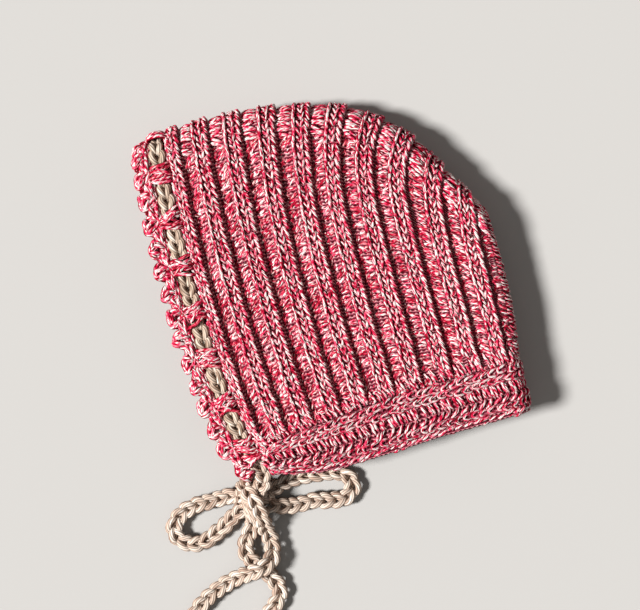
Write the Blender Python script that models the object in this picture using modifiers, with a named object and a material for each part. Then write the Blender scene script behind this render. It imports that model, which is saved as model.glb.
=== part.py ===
# A crocheted baby bonnet, folded in half and laid on its side, its drawstring tied in a bow.
# Units are metres, +Z is up. +X runs from the face edge to the back, +Y from the neck to the crown.
# Pieces are laid out from the front corner of the neck edge; the last step centres the bonnet.

import math
from collections import namedtuple

import bmesh
import bpy
import numpy as np
from mathutils import Vector

# Sizes of the folded bonnet
face_height = 0.177           # front corner of the neck up to the fold over the crown
bonnet_depth = 0.1525         # face edge to the back at its deepest
folded_height = 0.026         # both layers and the room between them, as they lie
fold_radius = 0.012           # distance in from the outline where the top starts to turn over
back_radius = 0.009           # the same along the closed back
crown_wall = 0.003
rib_height = 0.0027           # rib crest above the valley beside it
rib_fade = 0.009              # the ribs run out this far above the neck band
seam_strip = 0.004            # level strip beside the neck band

# Sizes of the neck band
neck_band_width = 0.0265      # at the back
neck_band_wall = 0.003
neck_band_front = 0.0133      # front end of the band, behind the cord's way out

# Sizes of the face edging
picots_a_side = 16
edging_below_neck = 0.0126    # the edging's line starts this far below the neck corner
picot_reach = 0.0085          # from the eyelet band to the tips
picot_base = 0.003            # solid strip that the picots stand on
picot_thickness = 0.0036
picot_depth = 0.0036          # middle of the picots below the outer surface
fold_droop = 0.005            # the picot tips at the fold hang back by this much
droop_length = 0.04           # and less and less up to this far from the fold
over_bar_length = 0.0095      # stitches that cross over the cord
under_bar_length = 0.005      # stitches that pass under it
fold_bar_length = 0.016       # stitches that cover the cord on the fold
bar_thickness = 0.0018
rail_width = 0.0012
rail_depth = 0.0032           # middle of the rails below the outer surface
rail_gap = 0.0005             # more room between the rails and the cord
over_bar_edge = 0.0004        # a bar over the cord bends down this far inside the cord's side
under_bar_edge = 0.0013       # a bar under the cord bends up this far inside the rail
under_bar_sag = 0.0003        # and is this much deeper in its middle

# Sizes of the cord and its knots
cord_diameter = 0.006
bow_knot_radius = 0.008
bow_below_neck = 0.0155       # middle of the bow's knot below the neck corner
tail_knot_radius = 0.0045

clearance = 0.0003            # between pieces that touch

# Ribs from the face to the back, and the closed back itself. x is a share of the bonnet's depth,
# at the neck, over most of the height, and on the fold; crown_y is a share of the face height.
# turn says how late a rib swings back towards the fold.
Rib = namedtuple("Rib", "place neck_x body_x crown_x crown_y turn")
ribs = (
    Rib(1, 0.0755, 0.0315, 0.0620, 0.997, 4),
    Rib(2, 0.1607, 0.1233, 0.1607, 1.000, 4),
    Rib(3, 0.2525, 0.2230, 0.2720, 0.997, 4),
    Rib(4, 0.3475, 0.3213, 0.3900, 0.986, 4),
    Rib(5, 0.4393, 0.4223, 0.5050, 0.966, 4.5),
    Rib(6, 0.5310, 0.5180, 0.6200, 0.935, 6),
    Rib(7, 0.6260, 0.6216, 0.7305, 0.876, 8),
    Rib(8, 0.7266, 0.7200, 0.8164, 0.802, 9),
    Rib(9, 0.8216, 0.8216, 0.8850, 0.706, 8),
    Rib(10, 0.9115, 0.9180, 0.9475, 0.610, 6),
    Rib(10.75, 0.9705, 1.0000, 0.9870, 0.542, 3),
)
neck_bend = 3.5               # how fast the ribs leave the neck's spacing
crown_levels = (0.15, 0.32, 0.50, 0.68, 0.85)     # rows of points up a rib, as shares of its straight part
back_columns = (0.27, 0.09, 0)                    # lines of points up the closed back, in ribs before it

# Height across one rib: offset from its middle in ribs, and share of the rib's height.
RibStep = namedtuple("RibStep", "offset height")
rib_steps = (
    RibStep(-0.27, 0.85),
    RibStep(-0.05, 1.00),
    RibStep(0.20, 1.00),
    RibStep(0.34, 0.12),
    RibStep(0.52, 0.10),
    RibStep(0.73, 0.85),
)

# The line that the cord follows in the face edging, as shares of the bonnet's depth.
cord_neck_x = 0.0492
cord_body_x = -0.0295
cord_crown_x = -0.0066
cord_neck_bend = 4.6
cord_crown_bend = 4
cord_crown_y = 0.995          # share of the face height where the edging crosses the fold

# The neck band: x is a share of the bonnet's depth, seam and hem are shares of the band's width.
NeckStep = namedtuple("NeckStep", "x seam hem")
neck_steps = (
    NeckStep(0.070, 0.390, -0.090),
    NeckStep(0.131, 0.453, -0.189),
    NeckStep(0.236, 0.547, -0.321),
    NeckStep(0.328, 0.604, -0.340),
    NeckStep(0.492, 0.698, -0.302),
    NeckStep(0.656, 0.755, -0.245),
    NeckStep(0.975, 0.792, -0.208),
)

# Across the neck band from hem to seam: two braids at the hem, upright stitches, a double ridge.
BandStep = namedtuple("BandStep", "across depth")
band_steps = (
    BandStep(0.00, 0.55),
    BandStep(0.10, 0.25),
    BandStep(0.27, 0.30),
    BandStep(0.36, 0.90),
    BandStep(0.58, 0.90),
    BandStep(0.68, 0.15),
    BandStep(0.86, 0.00),
    BandStep(0.92, 0.45),
    BandStep(1.00, 0.45),
)

# One picot: share of its pitch, and share of its reach.
PicotStep = namedtuple("PicotStep", "along reach")
picot_steps = (
    PicotStep(0.00, 0.25),
    PicotStep(0.12, 0.62),
    PicotStep(0.30, 0.95),
    PicotStep(0.50, 1.00),
    PicotStep(0.70, 0.95),
    PicotStep(0.88, 0.62),
)

# Ends of the cord on the bow knot, as compass and lift angles seen from the knot's middle.
knot_centre = Vector((0.0, -bow_below_neck, bow_knot_radius + clearance))
KnotEnd = namedtuple("KnotEnd", "compass lift")
knot_ends = {
    "upper_lead": KnotEnd(50, 35),
    "lower_lead": KnotEnd(100, 5),
    "left_out": KnotEnd(157, -15),
    "left_back": KnotEnd(206, -15),
    "right_out": KnotEnd(14, -15),
    "right_back": KnotEnd(-35, -15),
    "left_tail": KnotEnd(-75, 25),
    "right_tail": KnotEnd(-105, -20),
}

# Routes of the cord, chosen by hand, each without its end on the knot.
upper_lead_route = ((0.0070, 0.0015, 0.0197), (0.0080, -0.0035, 0.0178), (0.0068, -0.0076, 0.0153))
lower_lead_route = ((0.0050, 0.0030, 0.0080), (0.0022, -0.0006, 0.0092), (-0.0010, -0.0043, 0.0095))
left_loop_route = (
    (-0.0115, -0.0112, 0.0048), (-0.0165, -0.0111, 0.0036), (-0.0225, -0.0113, 0.0031),
    (-0.0300, -0.0115, 0.0031), (-0.0370, -0.0135, 0.0031), (-0.0418, -0.0172, 0.0031),
    (-0.0434, -0.0222, 0.0031), (-0.0413, -0.0270, 0.0031), (-0.0366, -0.0299, 0.0031),
    (-0.0308, -0.0305, 0.0031), (-0.0250, -0.0287, 0.0031), (-0.0190, -0.0257, 0.0032),
    (-0.0135, -0.0223, 0.0042),
)
right_loop_route = (
    (0.0120, -0.0125, 0.0049), (0.0170, -0.0114, 0.0037), (0.0230, -0.0110, 0.0031),
    (0.0300, -0.0112, 0.0031), (0.0375, -0.0122, 0.0031), (0.0448, -0.0145, 0.0031),
    (0.0498, -0.0184, 0.0031), (0.0506, -0.0230, 0.0031), (0.0466, -0.0264, 0.0031),
    (0.0410, -0.0266, 0.0031), (0.0350, -0.0252, 0.0031), (0.0285, -0.0243, 0.0031),
    (0.0215, -0.0245, 0.0032), (0.0155, -0.0236, 0.0040), (0.0110, -0.0220, 0.0052),
)
left_tail_route = (
    (0.0022, -0.0268, 0.0110), (0.0022, -0.0313, 0.0074), (0.0028, -0.0363, 0.0047),
    (0.0030, -0.0413, 0.0045), (0.0018, -0.0457, 0.0063), (-0.0014, -0.0491, 0.0086),
    (-0.0060, -0.0508, 0.0096), (-0.0110, -0.0512, 0.0080), (-0.0165, -0.0520, 0.0050),
    (-0.0225, -0.0533, 0.0033), (-0.0290, -0.0553, 0.0031), (-0.0355, -0.0585, 0.0031),
    (-0.0410, -0.0622, 0.0031), (-0.0450, -0.0658, 0.0031),
)
right_tail_route = (
    (-0.0032, -0.0270, 0.0041), (-0.0060, -0.0310, 0.0032), (-0.0090, -0.0350, 0.0031),
    (-0.0108, -0.0395, 0.0031), (-0.0102, -0.0445, 0.0031), (-0.0070, -0.0490, 0.0031),
    (-0.0037, -0.0535, 0.0031), (-0.0008, -0.0580, 0.0031), (0.0009, -0.0625, 0.0031),
    (0.0000, -0.0670, 0.0031), (-0.0035, -0.0708, 0.0031), (-0.0075, -0.0742, 0.0031),
)
knot_exit_length = 0.002      # the cord leaves a knot straight for this far
loose_cord_step = 0.0065      # spacing of the points of the loops and tails
held_cord_step = 0.015        # and of the stretch in the edging, where it runs straight
turning_cord_step = 0.005     # and where it turns over the fold

# Sizes that follow from the ones above
half_height = folded_height / 2
picot_pitch = (face_height + edging_below_neck) / picots_a_side
cord_radius = cord_diameter / 2
cord_depth = bar_thickness + clearance + cord_radius
under_bar_depth = cord_depth + cord_radius + clearance + bar_thickness / 2
over_bar_depth = bar_thickness / 2
rail_inner = cord_radius + clearance + bar_thickness / 2 + rail_gap
band_half_width = rail_inner + rail_width
over_shoulder = cord_radius - over_bar_edge
under_shoulder = rail_inner - under_bar_edge
turn_length = math.pi / 2 * math.sqrt((fold_radius ** 2 + half_height ** 2) / 2)
edging_reach = band_half_width + clearance + picot_reach
front_place = ribs[0].place + rib_steps[0].offset
back_place = ribs[-1].place
back_spacing = bonnet_depth * (ribs[-1].body_x - ribs[-2].body_x) / (ribs[-1].place - ribs[-2].place)
neck_back = bonnet_depth * ribs[-1].neck_x


def clear_scene():
    for item in list(bpy.data.objects):
        bpy.data.objects.remove(item, do_unlink=True)


def read_table(table, column, place):
    # A smooth curve through one column of a table, whose first column holds the places.
    places = [row[0] for row in table]
    values = [getattr(row, column) for row in table]
    slopes = np.gradient(values, places)
    first = int(np.clip(np.searchsorted(places, place) - 1, 0, len(places) - 2))
    span = places[first + 1] - places[first]
    share = (place - places[first]) / span
    rest = 1 - share
    start = (1 + 2 * share) * rest ** 2 * values[first] + share * rest ** 2 * span * slopes[first]
    end = (1 + 2 * rest) * share ** 2 * values[first + 1] - rest * share ** 2 * span * slopes[first + 1]
    return float(start + end)


def step_value(table, column, offset):
    # Straight lines between the rows of a table.
    return float(np.interp(offset, [row[0] for row in table], [getattr(row, column) for row in table]))


def seam_y(x):
    return neck_band_width * step_value(neck_steps, "seam", x / bonnet_depth)


def hem_y(x):
    return neck_band_width * step_value(neck_steps, "hem", x / bonnet_depth)


def cord_line_x(y):
    share = y / face_height
    at_neck = (cord_neck_x - cord_body_x) * (1 - share) ** cord_neck_bend
    at_crown = (cord_crown_x - cord_body_x) * max(share, 0) ** cord_crown_bend
    return bonnet_depth * (cord_body_x + at_neck + at_crown)


def measured(points):
    # Points from the crown down to the neck, with each one's distance from the crown.
    points = np.array(points)[::-1]
    steps = np.linalg.norm(np.diff(points, axis=0), axis=1)
    return points, np.concatenate(([0.0], np.cumsum(steps)))


def point_on(line, inset):
    points, distances = line
    x = float(np.interp(inset, distances, points[:, 0]))
    y = float(np.interp(inset, distances, points[:, 1]))
    return x, y


def make_cord_line():
    heights = np.linspace(-edging_below_neck, face_height * cord_crown_y, 60)
    return measured([(cord_line_x(y), y) for y in heights])


def make_rib_line(place):
    # One line up the crown, from the neck band to the fold.
    rib_place = max(place, ribs[0].place)
    neck_x = bonnet_depth * read_table(ribs, "neck_x", rib_place)
    body_x = bonnet_depth * read_table(ribs, "body_x", rib_place)
    crown_x = bonnet_depth * read_table(ribs, "crown_x", rib_place)
    crown_y = face_height * read_table(ribs, "crown_y", rib_place)
    turn = read_table(ribs, "turn", rib_place)
    forward = (ribs[0].place - min(place, ribs[0].place)) / (ribs[0].place - front_place)
    neck_y = seam_y(neck_x)
    points = []
    for share in np.linspace(0, 1, 60):
        x = body_x + (neck_x - body_x) * (1 - share) ** neck_bend + (crown_x - body_x) * share ** turn
        y = neck_y + (crown_y - neck_y) * share
        edge_x = cord_line_x(y) + band_half_width + clearance
        points.append((x + (edge_x - x) * forward, y))
    return measured(points)


def over_the_fold(along, depth):
    # How far in from the outline and how far above the middle a point lies that is `along` from
    # the fold, positive on the upper layer, and `depth` under the outer surface.
    side = -1 if along < 0 else 1
    turn = min(abs(along) / turn_length, 1) * math.pi / 2
    inset = fold_radius - (fold_radius - depth) * math.cos(turn) + max(abs(along) - turn_length, 0)
    return inset, side * (half_height - depth) * math.sin(turn)


def make_sheet(name, columns, rows, place_vertex, keep_face=None):
    # A grid of columns and rows of points, each moved to its place.
    sheet = bmesh.new()
    bmesh.ops.create_grid(sheet, x_segments=columns - 1, y_segments=rows - 1, size=0.5)
    if keep_face:
        gone = []
        for face in sheet.faces:
            middle = face.calc_center_median()
            column = int((middle.x + 0.5) * (columns - 1))
            row = int((middle.y + 0.5) * (rows - 1))
            if not keep_face(column, row):
                gone.append(face)
        bmesh.ops.delete(sheet, geom=gone, context="FACES")
    for vertex in sheet.verts:
        column = round((vertex.co.x + 0.5) * (columns - 1))
        row = round((vertex.co.y + 0.5) * (rows - 1))
        vertex.co = place_vertex(column, row)
    bmesh.ops.remove_doubles(sheet, verts=sheet.verts, dist=0.00002)
    mesh = bpy.data.meshes.new(name)
    sheet.to_mesh(mesh)
    sheet.free()
    return bpy.data.objects.new(name, mesh)


def thicken(piece, thickness, offset):
    wall = piece.modifiers.new("Wall", "SOLIDIFY")
    wall.thickness = thickness
    wall.offset = offset
    wall.use_even_offset = False


def make_material(name, colour, roughness):
    material = bpy.data.materials.new(name)
    material.use_nodes = True
    shader = material.node_tree.nodes["Principled BSDF"]
    shader.inputs["Base Color"].default_value = (*colour, 1)
    shader.inputs["Roughness"].default_value = roughness
    shader.inputs["Metallic"].default_value = 0
    return material


def crown_places():
    places = []
    for rib in ribs[:-1]:
        places += [rib.place + step.offset for step in rib_steps[:-1]]
    places = [place for place in places if place < back_place - back_columns[0]]
    return places + [back_place - before for before in back_columns]


def rib_relief(place):
    offset = (place - front_place) % 1 + rib_steps[0].offset
    return rib_height * (1 - step_value(rib_steps, "height", offset))


def make_ribbed_crown():
    places = crown_places()
    lines = [make_rib_line(place) for place in places]
    turning = [math.radians(angle) for angle in (67.5, 45, 22.5)]

    def stations(length):
        # From the neck on the upper layer, over the fold, to the neck on the lower one.
        straight = length - fold_radius
        ribbed = straight - seam_strip - rib_fade
        upper = [turn_length + straight, turn_length + straight - seam_strip, turn_length + ribbed]
        upper += [turn_length + ribbed * share for share in reversed(crown_levels)]
        upper += [turn_length] + [turn_length * angle / (math.pi / 2) for angle in turning]
        return upper + [0.0] + [-along for along in reversed(upper)]

    rows = len(stations(face_height))
    columns = len(places)

    def place_vertex(column, row):
        points, distances = lines[column]
        along = stations(distances[-1])[row]
        relief = rib_relief(places[column])
        if row in (0, 1, rows - 2, rows - 1):
            relief = rib_height * 0.45
        elif abs(along) < turn_length:
            relief *= 0.45 + 0.55 * abs(along) / turn_length
        inset, rise = over_the_fold(along, relief)
        x, y = point_on(lines[column], inset)
        to_back = min((back_place - places[column]) * back_spacing / back_radius, 1)
        rise *= math.sqrt(1 - (1 - to_back) ** 2)
        return x, y, half_height + rise

    crown = make_sheet("ribbed_crown", columns, rows, place_vertex)
    thicken(crown, crown_wall, -1)
    return crown


def make_neck_band():
    level_x = np.linspace(neck_band_front, neck_back - back_radius, 10)
    stations = [(x, 90.0) for x in level_x]
    stations += [(neck_back, angle) for angle in (67.5, 45, 22.5, 0, -22.5, -45, -67.5)]
    stations += [(x, -90.0) for x in level_x[::-1]]

    def place_vertex(column, row):
        x, angle = stations[column]
        depth = rib_height * band_steps[row].depth
        turn = math.radians(angle)
        if abs(angle) < 90:
            x = neck_back - back_radius + (back_radius - depth) * math.cos(turn)
        top = seam_y(x) - clearance
        y = hem_y(x) + (top - hem_y(x)) * band_steps[row].across
        return x, y, half_height + (half_height - depth) * math.sin(turn)

    band = make_sheet("neck_band", len(stations), len(band_steps), place_vertex)
    thicken(band, neck_band_wall, -1)
    return band


def on_the_edge(line, along, forward, depth):
    # A point in the face edging: `forward` of the cord's line, towards the picots.
    inset, rise = over_the_fold(along, depth)
    x, y = point_on(line, inset)
    hang_back = fold_droop * (max(forward, 0) / edging_reach) ** 2 * max(1 - inset / droop_length, 0)
    return Vector((x - forward, y - hang_back, half_height + rise))


def bar_spans():
    # Where the stitches cross over the cord and under it on the upper layer, as start, end, kind.
    spans = [(-fold_bar_length / 2, fold_bar_length / 2, "over")]
    for count in range(1, picots_a_side - 1):
        middle = picot_pitch * (count + 0.5)
        length = under_bar_length if count % 2 else over_bar_length
        spans.append((middle - length / 2, middle + length / 2, "under" if count % 2 else "over"))
    return spans


def edge_stations():
    # Along the eyelet band from the upper layer's neck end to the lower one's: each stretch
    # between two stations is a bar over the cord, a bar under it, or an eyelet.
    upper = bar_spans()[1:]
    lower = [(-end, -start, kind) for start, end, kind in upper]
    spans = upper[::-1] + bar_spans()[:1] + lower
    stations = []
    kinds = []
    for count, (start, end, kind) in enumerate(spans):
        pieces = 4 if kind == "over" and abs(start + end) < picot_pitch else 1
        if pieces == 1 and abs(start + end) / 2 < turn_length:
            pieces = 2
        for piece in range(pieces):
            stations.append(end + (start - end) * piece / pieces)
            kinds.append(kind)
        stations.append(start)
        if count < len(spans) - 1:
            kinds.append("eyelet")
            next_end = spans[count + 1][1]
            if abs(start + next_end) / 2 < turn_length:
                stations.append((start + next_end) / 2)
                kinds.append("eyelet")
    return stations, kinds


def make_eyelet_band(line):
    stations, kinds = edge_stations()
    under_edge_depth = under_bar_depth - under_bar_sag
    across = {
        "over": ((rail_inner, rail_depth), (over_shoulder, over_bar_depth), (0, over_bar_depth)),
        "under": ((rail_inner, rail_depth), (under_shoulder, under_edge_depth), (0, under_bar_depth)),
    }

    def bar_profile(column):
        # The bar that a column of points belongs to, at its end or inside it.
        beside = [kinds[index] for index in (column - 1, column) if 0 <= index < len(kinds)]
        kind = next((name for name in beside if name != "eyelet"), "over")
        half = [(band_half_width, rail_depth), *across[kind]]
        return half + [(-offset, depth) for offset, depth in reversed(half[:-1])]

    profiles = [bar_profile(column) for column in range(len(stations))]
    rows = len(profiles[0])

    def place_vertex(column, row):
        forward, depth = profiles[column][row]
        return on_the_edge(line, stations[column], forward, depth)

    def keep_face(column, row):
        return kinds[column] != "eyelet" or row in (0, rows - 2)

    band = make_sheet("eyelet_band", len(stations), rows, place_vertex, keep_face)
    thicken(band, bar_thickness, 0)
    return band


def make_picot_edging(line):
    start = band_half_width + clearance
    stations = []
    for count in range(2 * picots_a_side):
        for step in picot_steps:
            along = picot_pitch * (picots_a_side - count - step.along)
            stations.append((along, step.reach))
    stations.append((-picot_pitch * picots_a_side, picot_steps[0].reach))

    def place_vertex(column, row):
        along, reach = stations[column]
        outer = picot_base + (picot_reach - picot_base) * reach
        forward = start + (outer, picot_base * 0.8, 0)[row]
        return on_the_edge(line, along, forward, picot_depth)

    edging = make_sheet("picot_edging", len(stations), 3, place_vertex)
    thicken(edging, picot_thickness, 0)
    return edging


def smooth_route(points, step):
    # Points about a step apart on a smooth curve through the route's own points.
    points = [Vector(point) for point in points]
    before = points[0] * 2 - points[1]
    after = points[-1] * 2 - points[-2]
    padded = [before, *points, after]
    dense = [points[0]]
    for a, b, c, d in zip(padded, padded[1:], padded[2:], padded[3:]):
        for count in range(1, 13):
            t = count / 12
            pull = (c - a) * t + (2 * a - 5 * b + 4 * c - d) * t ** 2 + (3 * b - a - 3 * c + d) * t ** 3
            dense.append(b + pull / 2)
    lengths = [0.0]
    for first, second in zip(dense, dense[1:]):
        lengths.append(lengths[-1] + (second - first).length)
    coordinates = np.array(dense)
    count = max(round(lengths[-1] / step), 2)
    marks = np.linspace(0, lengths[-1], count + 1)
    columns = [np.interp(marks, lengths, coordinates[:, axis]) for axis in range(3)]
    return [Vector(point) for point in zip(*columns)]


def make_tube(name, points):
    curve = bpy.data.curves.new(name, "CURVE")
    curve.dimensions = "3D"
    curve.bevel_depth = cord_radius
    curve.bevel_resolution = 2
    curve.use_fill_caps = True
    spline = curve.splines.new("POLY")
    spline.points.add(len(points) - 1)
    for target, point in zip(spline.points, points):
        target.co = (*point, 1)
    return bpy.data.objects.new(name, curve)


def knot_direction(end):
    compass = math.radians(knot_ends[end].compass)
    lift = math.radians(knot_ends[end].lift)
    return Vector((math.cos(compass) * math.cos(lift), math.sin(compass) * math.cos(lift), math.sin(lift)))


def knot_exit(end):
    # Where the cord meets the knot, and a point straight out from there.
    meeting = knot_centre + knot_direction(end) * (bow_knot_radius + clearance)
    return meeting, meeting + knot_direction(end) * knot_exit_length


def knot_to_knot(start, route, end):
    start_meeting, start_out = knot_exit(start)
    end_meeting, end_out = knot_exit(end)
    points = smooth_route([start_out, *route, end_out], loose_cord_step)
    return [start_meeting, *points, end_meeting]


def make_drawstring(line):
    # Through the edging on the upper layer, over the fold and back on the lower one.
    last = bar_spans()[-1][1]
    straight = np.arange(last, turn_length, -held_cord_step)
    held = [on_the_edge(line, along, 0, cord_depth) for along in straight]
    turning = np.arange(turn_length, 0, -turning_cord_step)
    held += [on_the_edge(line, along, 0, cord_depth) for along in turning]
    middle = on_the_edge(line, 0, 0, cord_depth)
    lower = [Vector((point.x, point.y, folded_height - point.z)) for point in reversed(held)]
    upper_meeting, upper_out = knot_exit("upper_lead")
    lower_meeting, lower_out = knot_exit("lower_lead")
    upper_lead = smooth_route([upper_out, *reversed(upper_lead_route), held[0]], turning_cord_step)
    lower_lead = smooth_route([lower[-1], *lower_lead_route, lower_out], turning_cord_step)
    points = [upper_meeting, *upper_lead[:-1], *held, middle, *lower, *lower_lead[1:], lower_meeting]
    return make_tube("drawstring", points)


def make_knot(name, centre, radius, segments, rings):
    knot = bmesh.new()
    bmesh.ops.create_uvsphere(knot, u_segments=segments, v_segments=rings, radius=radius)
    mesh = bpy.data.meshes.new(name)
    knot.to_mesh(mesh)
    knot.free()
    mesh.shade_smooth()
    piece = bpy.data.objects.new(name, mesh)
    piece.location = centre
    return piece


def make_tail(side, route):
    meeting, out = knot_exit(side + "_tail")
    points = [meeting, *smooth_route([out, *route], loose_cord_step)]
    heading = (points[-1] - points[-2]).normalized()
    centre = points[-1] + heading * (tail_knot_radius + clearance)
    centre.z = tail_knot_radius + clearance
    tail = make_tube("tie_tail_" + side, points)
    return tail, make_knot("tail_knot_" + side, centre, tail_knot_radius, 10, 6)


def centre_pieces(pieces, bonnet):
    # Moves every piece so that the origin lies under the middle of the bonnet's own box.
    graph = bpy.context.evaluated_depsgraph_get()
    points = []
    for piece in bonnet:
        shape = piece.evaluated_get(graph)
        points += [shape.matrix_world @ vertex.co for vertex in shape.to_mesh().vertices]
        shape.to_mesh_clear()
    lowest_x = min(point.x for point in points)
    highest_x = max(point.x for point in points)
    lowest_y = min(point.y for point in points)
    highest_y = max(point.y for point in points)
    for piece in pieces:
        piece.location.x -= (lowest_x + highest_x) / 2
        piece.location.y -= (lowest_y + highest_y) / 2


def make_bonnet():
    clear_scene()
    collection = bpy.data.collections.new("crocheted_bonnet")
    bpy.context.scene.collection.children.link(collection)
    line = make_cord_line()
    bonnet = [make_ribbed_crown(), make_neck_band(), make_eyelet_band(line), make_picot_edging(line)]
    drawstring = make_drawstring(line)
    left_tail, left_knot = make_tail("left", left_tail_route)
    right_tail, right_knot = make_tail("right", right_tail_route)
    cords = [
        drawstring,
        make_knot("bow_knot", knot_centre, bow_knot_radius, 14, 9),
        make_tube("bow_loop_left", knot_to_knot("left_out", left_loop_route, "left_back")),
        make_tube("bow_loop_right", knot_to_knot("right_out", right_loop_route, "right_back")),
        left_tail, right_tail, left_knot, right_knot,
    ]
    pieces = bonnet + cords
    for piece in pieces:
        collection.objects.link(piece)
        colour = (0.60, 0.53, 0.44) if piece in cords else (0.72, 0.22, 0.32)
        piece.data.materials.append(make_material(piece.name + "_yarn", colour, 0.9))
    centre_pieces(pieces, bonnet + [drawstring])


make_bonnet()
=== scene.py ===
# The looks of a crocheted baby bonnet, folded in half and laid on its side, around its CAD frame.
import math
from collections import namedtuple

import bmesh
import bpy
import numpy as np
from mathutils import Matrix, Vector


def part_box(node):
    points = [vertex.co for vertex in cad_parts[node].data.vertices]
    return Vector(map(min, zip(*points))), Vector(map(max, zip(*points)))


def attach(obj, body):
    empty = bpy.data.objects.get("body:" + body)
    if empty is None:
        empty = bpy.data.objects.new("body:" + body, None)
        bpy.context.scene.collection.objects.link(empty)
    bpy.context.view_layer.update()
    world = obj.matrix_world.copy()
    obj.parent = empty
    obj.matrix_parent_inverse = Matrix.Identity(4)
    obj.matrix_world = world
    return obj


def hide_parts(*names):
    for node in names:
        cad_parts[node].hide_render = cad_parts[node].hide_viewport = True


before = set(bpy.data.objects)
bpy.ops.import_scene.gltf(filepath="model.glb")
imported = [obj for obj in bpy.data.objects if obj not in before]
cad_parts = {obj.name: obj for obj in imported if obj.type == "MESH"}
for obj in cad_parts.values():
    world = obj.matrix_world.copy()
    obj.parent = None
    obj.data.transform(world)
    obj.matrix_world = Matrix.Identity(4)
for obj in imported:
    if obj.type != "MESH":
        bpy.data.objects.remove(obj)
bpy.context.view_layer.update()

mm = 0.001
cm = 0.01
dice = np.random.default_rng(12)
scene = bpy.context.scene

# Everything is laid out from the front corner of the neck edge, and moved to the frame's origin at the end.
knotLow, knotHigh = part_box("bow_knot")
bowBelowNeck = 15.5 * mm
cornerShift = np.array([(knotLow[0] + knotHigh[0]) / 2, (knotLow[1] + knotHigh[1]) / 2 + bowBelowNeck, 0])

# The camera looks straight down, turned as in the photo.
view = {
    "lens": 85,               # mm
    "across": 320 * mm,       # width of the picture at the bonnet's height
    "aimX": 57.5 * mm,        # from the neck corner
    "aimY": 71.2 * mm,
    "aimZ": 18 * mm,
    "turn": -14.7,            # degrees
}


def setCamera():
    data = bpy.data.cameras.new("camera")
    data.lens = view["lens"]
    data.clip_start = 0.01
    camera = bpy.data.objects.new("camera", data)
    scene.collection.objects.link(camera)
    distance = view["across"] * view["lens"] / data.sensor_width
    camera.location = (view["aimX"] + cornerShift[0], view["aimY"] + cornerShift[1], view["aimZ"] + distance)
    camera.rotation_euler = (0, 0, math.radians(view["turn"]))
    scene.camera = camera


setCamera()

# The folded bonnet's form, the same as in the CAD part.
bonnet = {
    "faceHeight": 177 * mm,
    "depth": 152.5 * mm,
    "foldedHeight": 26 * mm,
    "foldRadius": 12 * mm,
    "backRadius": 9 * mm,
    "neckBandWidth": 26.5 * mm,
    "neckBandFront": 13.3 * mm,
    "clearance": 0.3 * mm,
    "edgeHalfWidth": 5.9 * mm,
    "picotReach": 8.5 * mm,
    "picotsASide": 16,
    "edgingBelowNeck": 12.6 * mm,
    "foldDroop": 5 * mm,
    "droopLength": 40 * mm,
    "edgeGap": 0.5 * mm,      # least room between the front rib's line and the edging
}
halfHeight = bonnet["foldedHeight"] / 2
foldRadius = bonnet["foldRadius"]
turnLength = math.pi / 2 * math.sqrt((foldRadius ** 2 + halfHeight ** 2) / 2)
backTurnLength = math.pi / 2 * math.sqrt((bonnet["backRadius"] ** 2 + halfHeight ** 2) / 2)
picotPitch = (bonnet["faceHeight"] + bonnet["edgingBelowNeck"]) / bonnet["picotsASide"]

Rib = namedtuple("Rib", "place neckX bodyX crownX crownY turn")   # shares of the depth and the face height
ribs = (
    Rib(1, 0.0755, 0.0315, 0.0620, 0.997, 4),
    Rib(2, 0.1607, 0.1233, 0.1607, 1.000, 4),
    Rib(3, 0.2525, 0.2230, 0.2720, 0.997, 4),
    Rib(4, 0.3475, 0.3213, 0.3900, 0.986, 4),
    Rib(5, 0.4393, 0.4223, 0.5050, 0.966, 4.5),
    Rib(6, 0.5310, 0.5180, 0.6200, 0.935, 6),
    Rib(7, 0.6260, 0.6216, 0.7305, 0.876, 8),
    Rib(8, 0.7266, 0.7200, 0.8164, 0.802, 9),
    Rib(9, 0.8216, 0.8216, 0.8850, 0.706, 8),
    Rib(10, 0.9115, 0.9180, 0.9475, 0.610, 6),
    Rib(10.75, 0.9705, 1.0000, 0.9870, 0.542, 3),
)
ribRun = {
    "front": 0.73,            # the place where the crown's fabric begins, before the first rib
    "belowSeam": 0.06,        # how far each rib's line runs on below its seam, as a share of its height
    "neckTurn": 3.5,          # the higher, the shorter the bend to the rib's foot
    "steps": 72,
}
frontPlace = ribRun["front"]
backPlace = ribs[-1].place
backSpacing = bonnet["depth"] * (ribs[-1].bodyX - ribs[-2].bodyX) / (ribs[-1].place - ribs[-2].place)
neckBack = bonnet["depth"] * ribs[-1].neckX

NeckStep = namedtuple("NeckStep", "x seam hem")    # shares of the depth, and of the band's width
neckSteps = (
    NeckStep(0.070, 0.390, -0.090),
    NeckStep(0.131, 0.453, -0.189),
    NeckStep(0.236, 0.547, -0.321),
    NeckStep(0.328, 0.604, -0.340),
    NeckStep(0.492, 0.698, -0.302),
    NeckStep(0.656, 0.755, -0.245),
    NeckStep(0.975, 0.792, -0.208),
)


def readTable(table, column, place):
    # A smooth curve through one column of a table.
    places = [row[0] for row in table]
    values = [getattr(row, column) for row in table]
    slopes = np.gradient(values, places)
    first = int(np.clip(np.searchsorted(places, place) - 1, 0, len(places) - 2))
    span = places[first + 1] - places[first]
    share = (place - places[first]) / span
    rest = 1 - share
    start = (1 + 2 * share) * rest ** 2 * values[first] + share * rest ** 2 * span * slopes[first]
    end = (1 + 2 * rest) * share ** 2 * values[first + 1] - rest * share ** 2 * span * slopes[first + 1]
    return start + end


def neckLine(column, x):
    places = [row.x for row in neckSteps]
    values = [getattr(row, column) for row in neckSteps]
    return bonnet["neckBandWidth"] * np.interp(x / bonnet["depth"], places, values)


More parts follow.
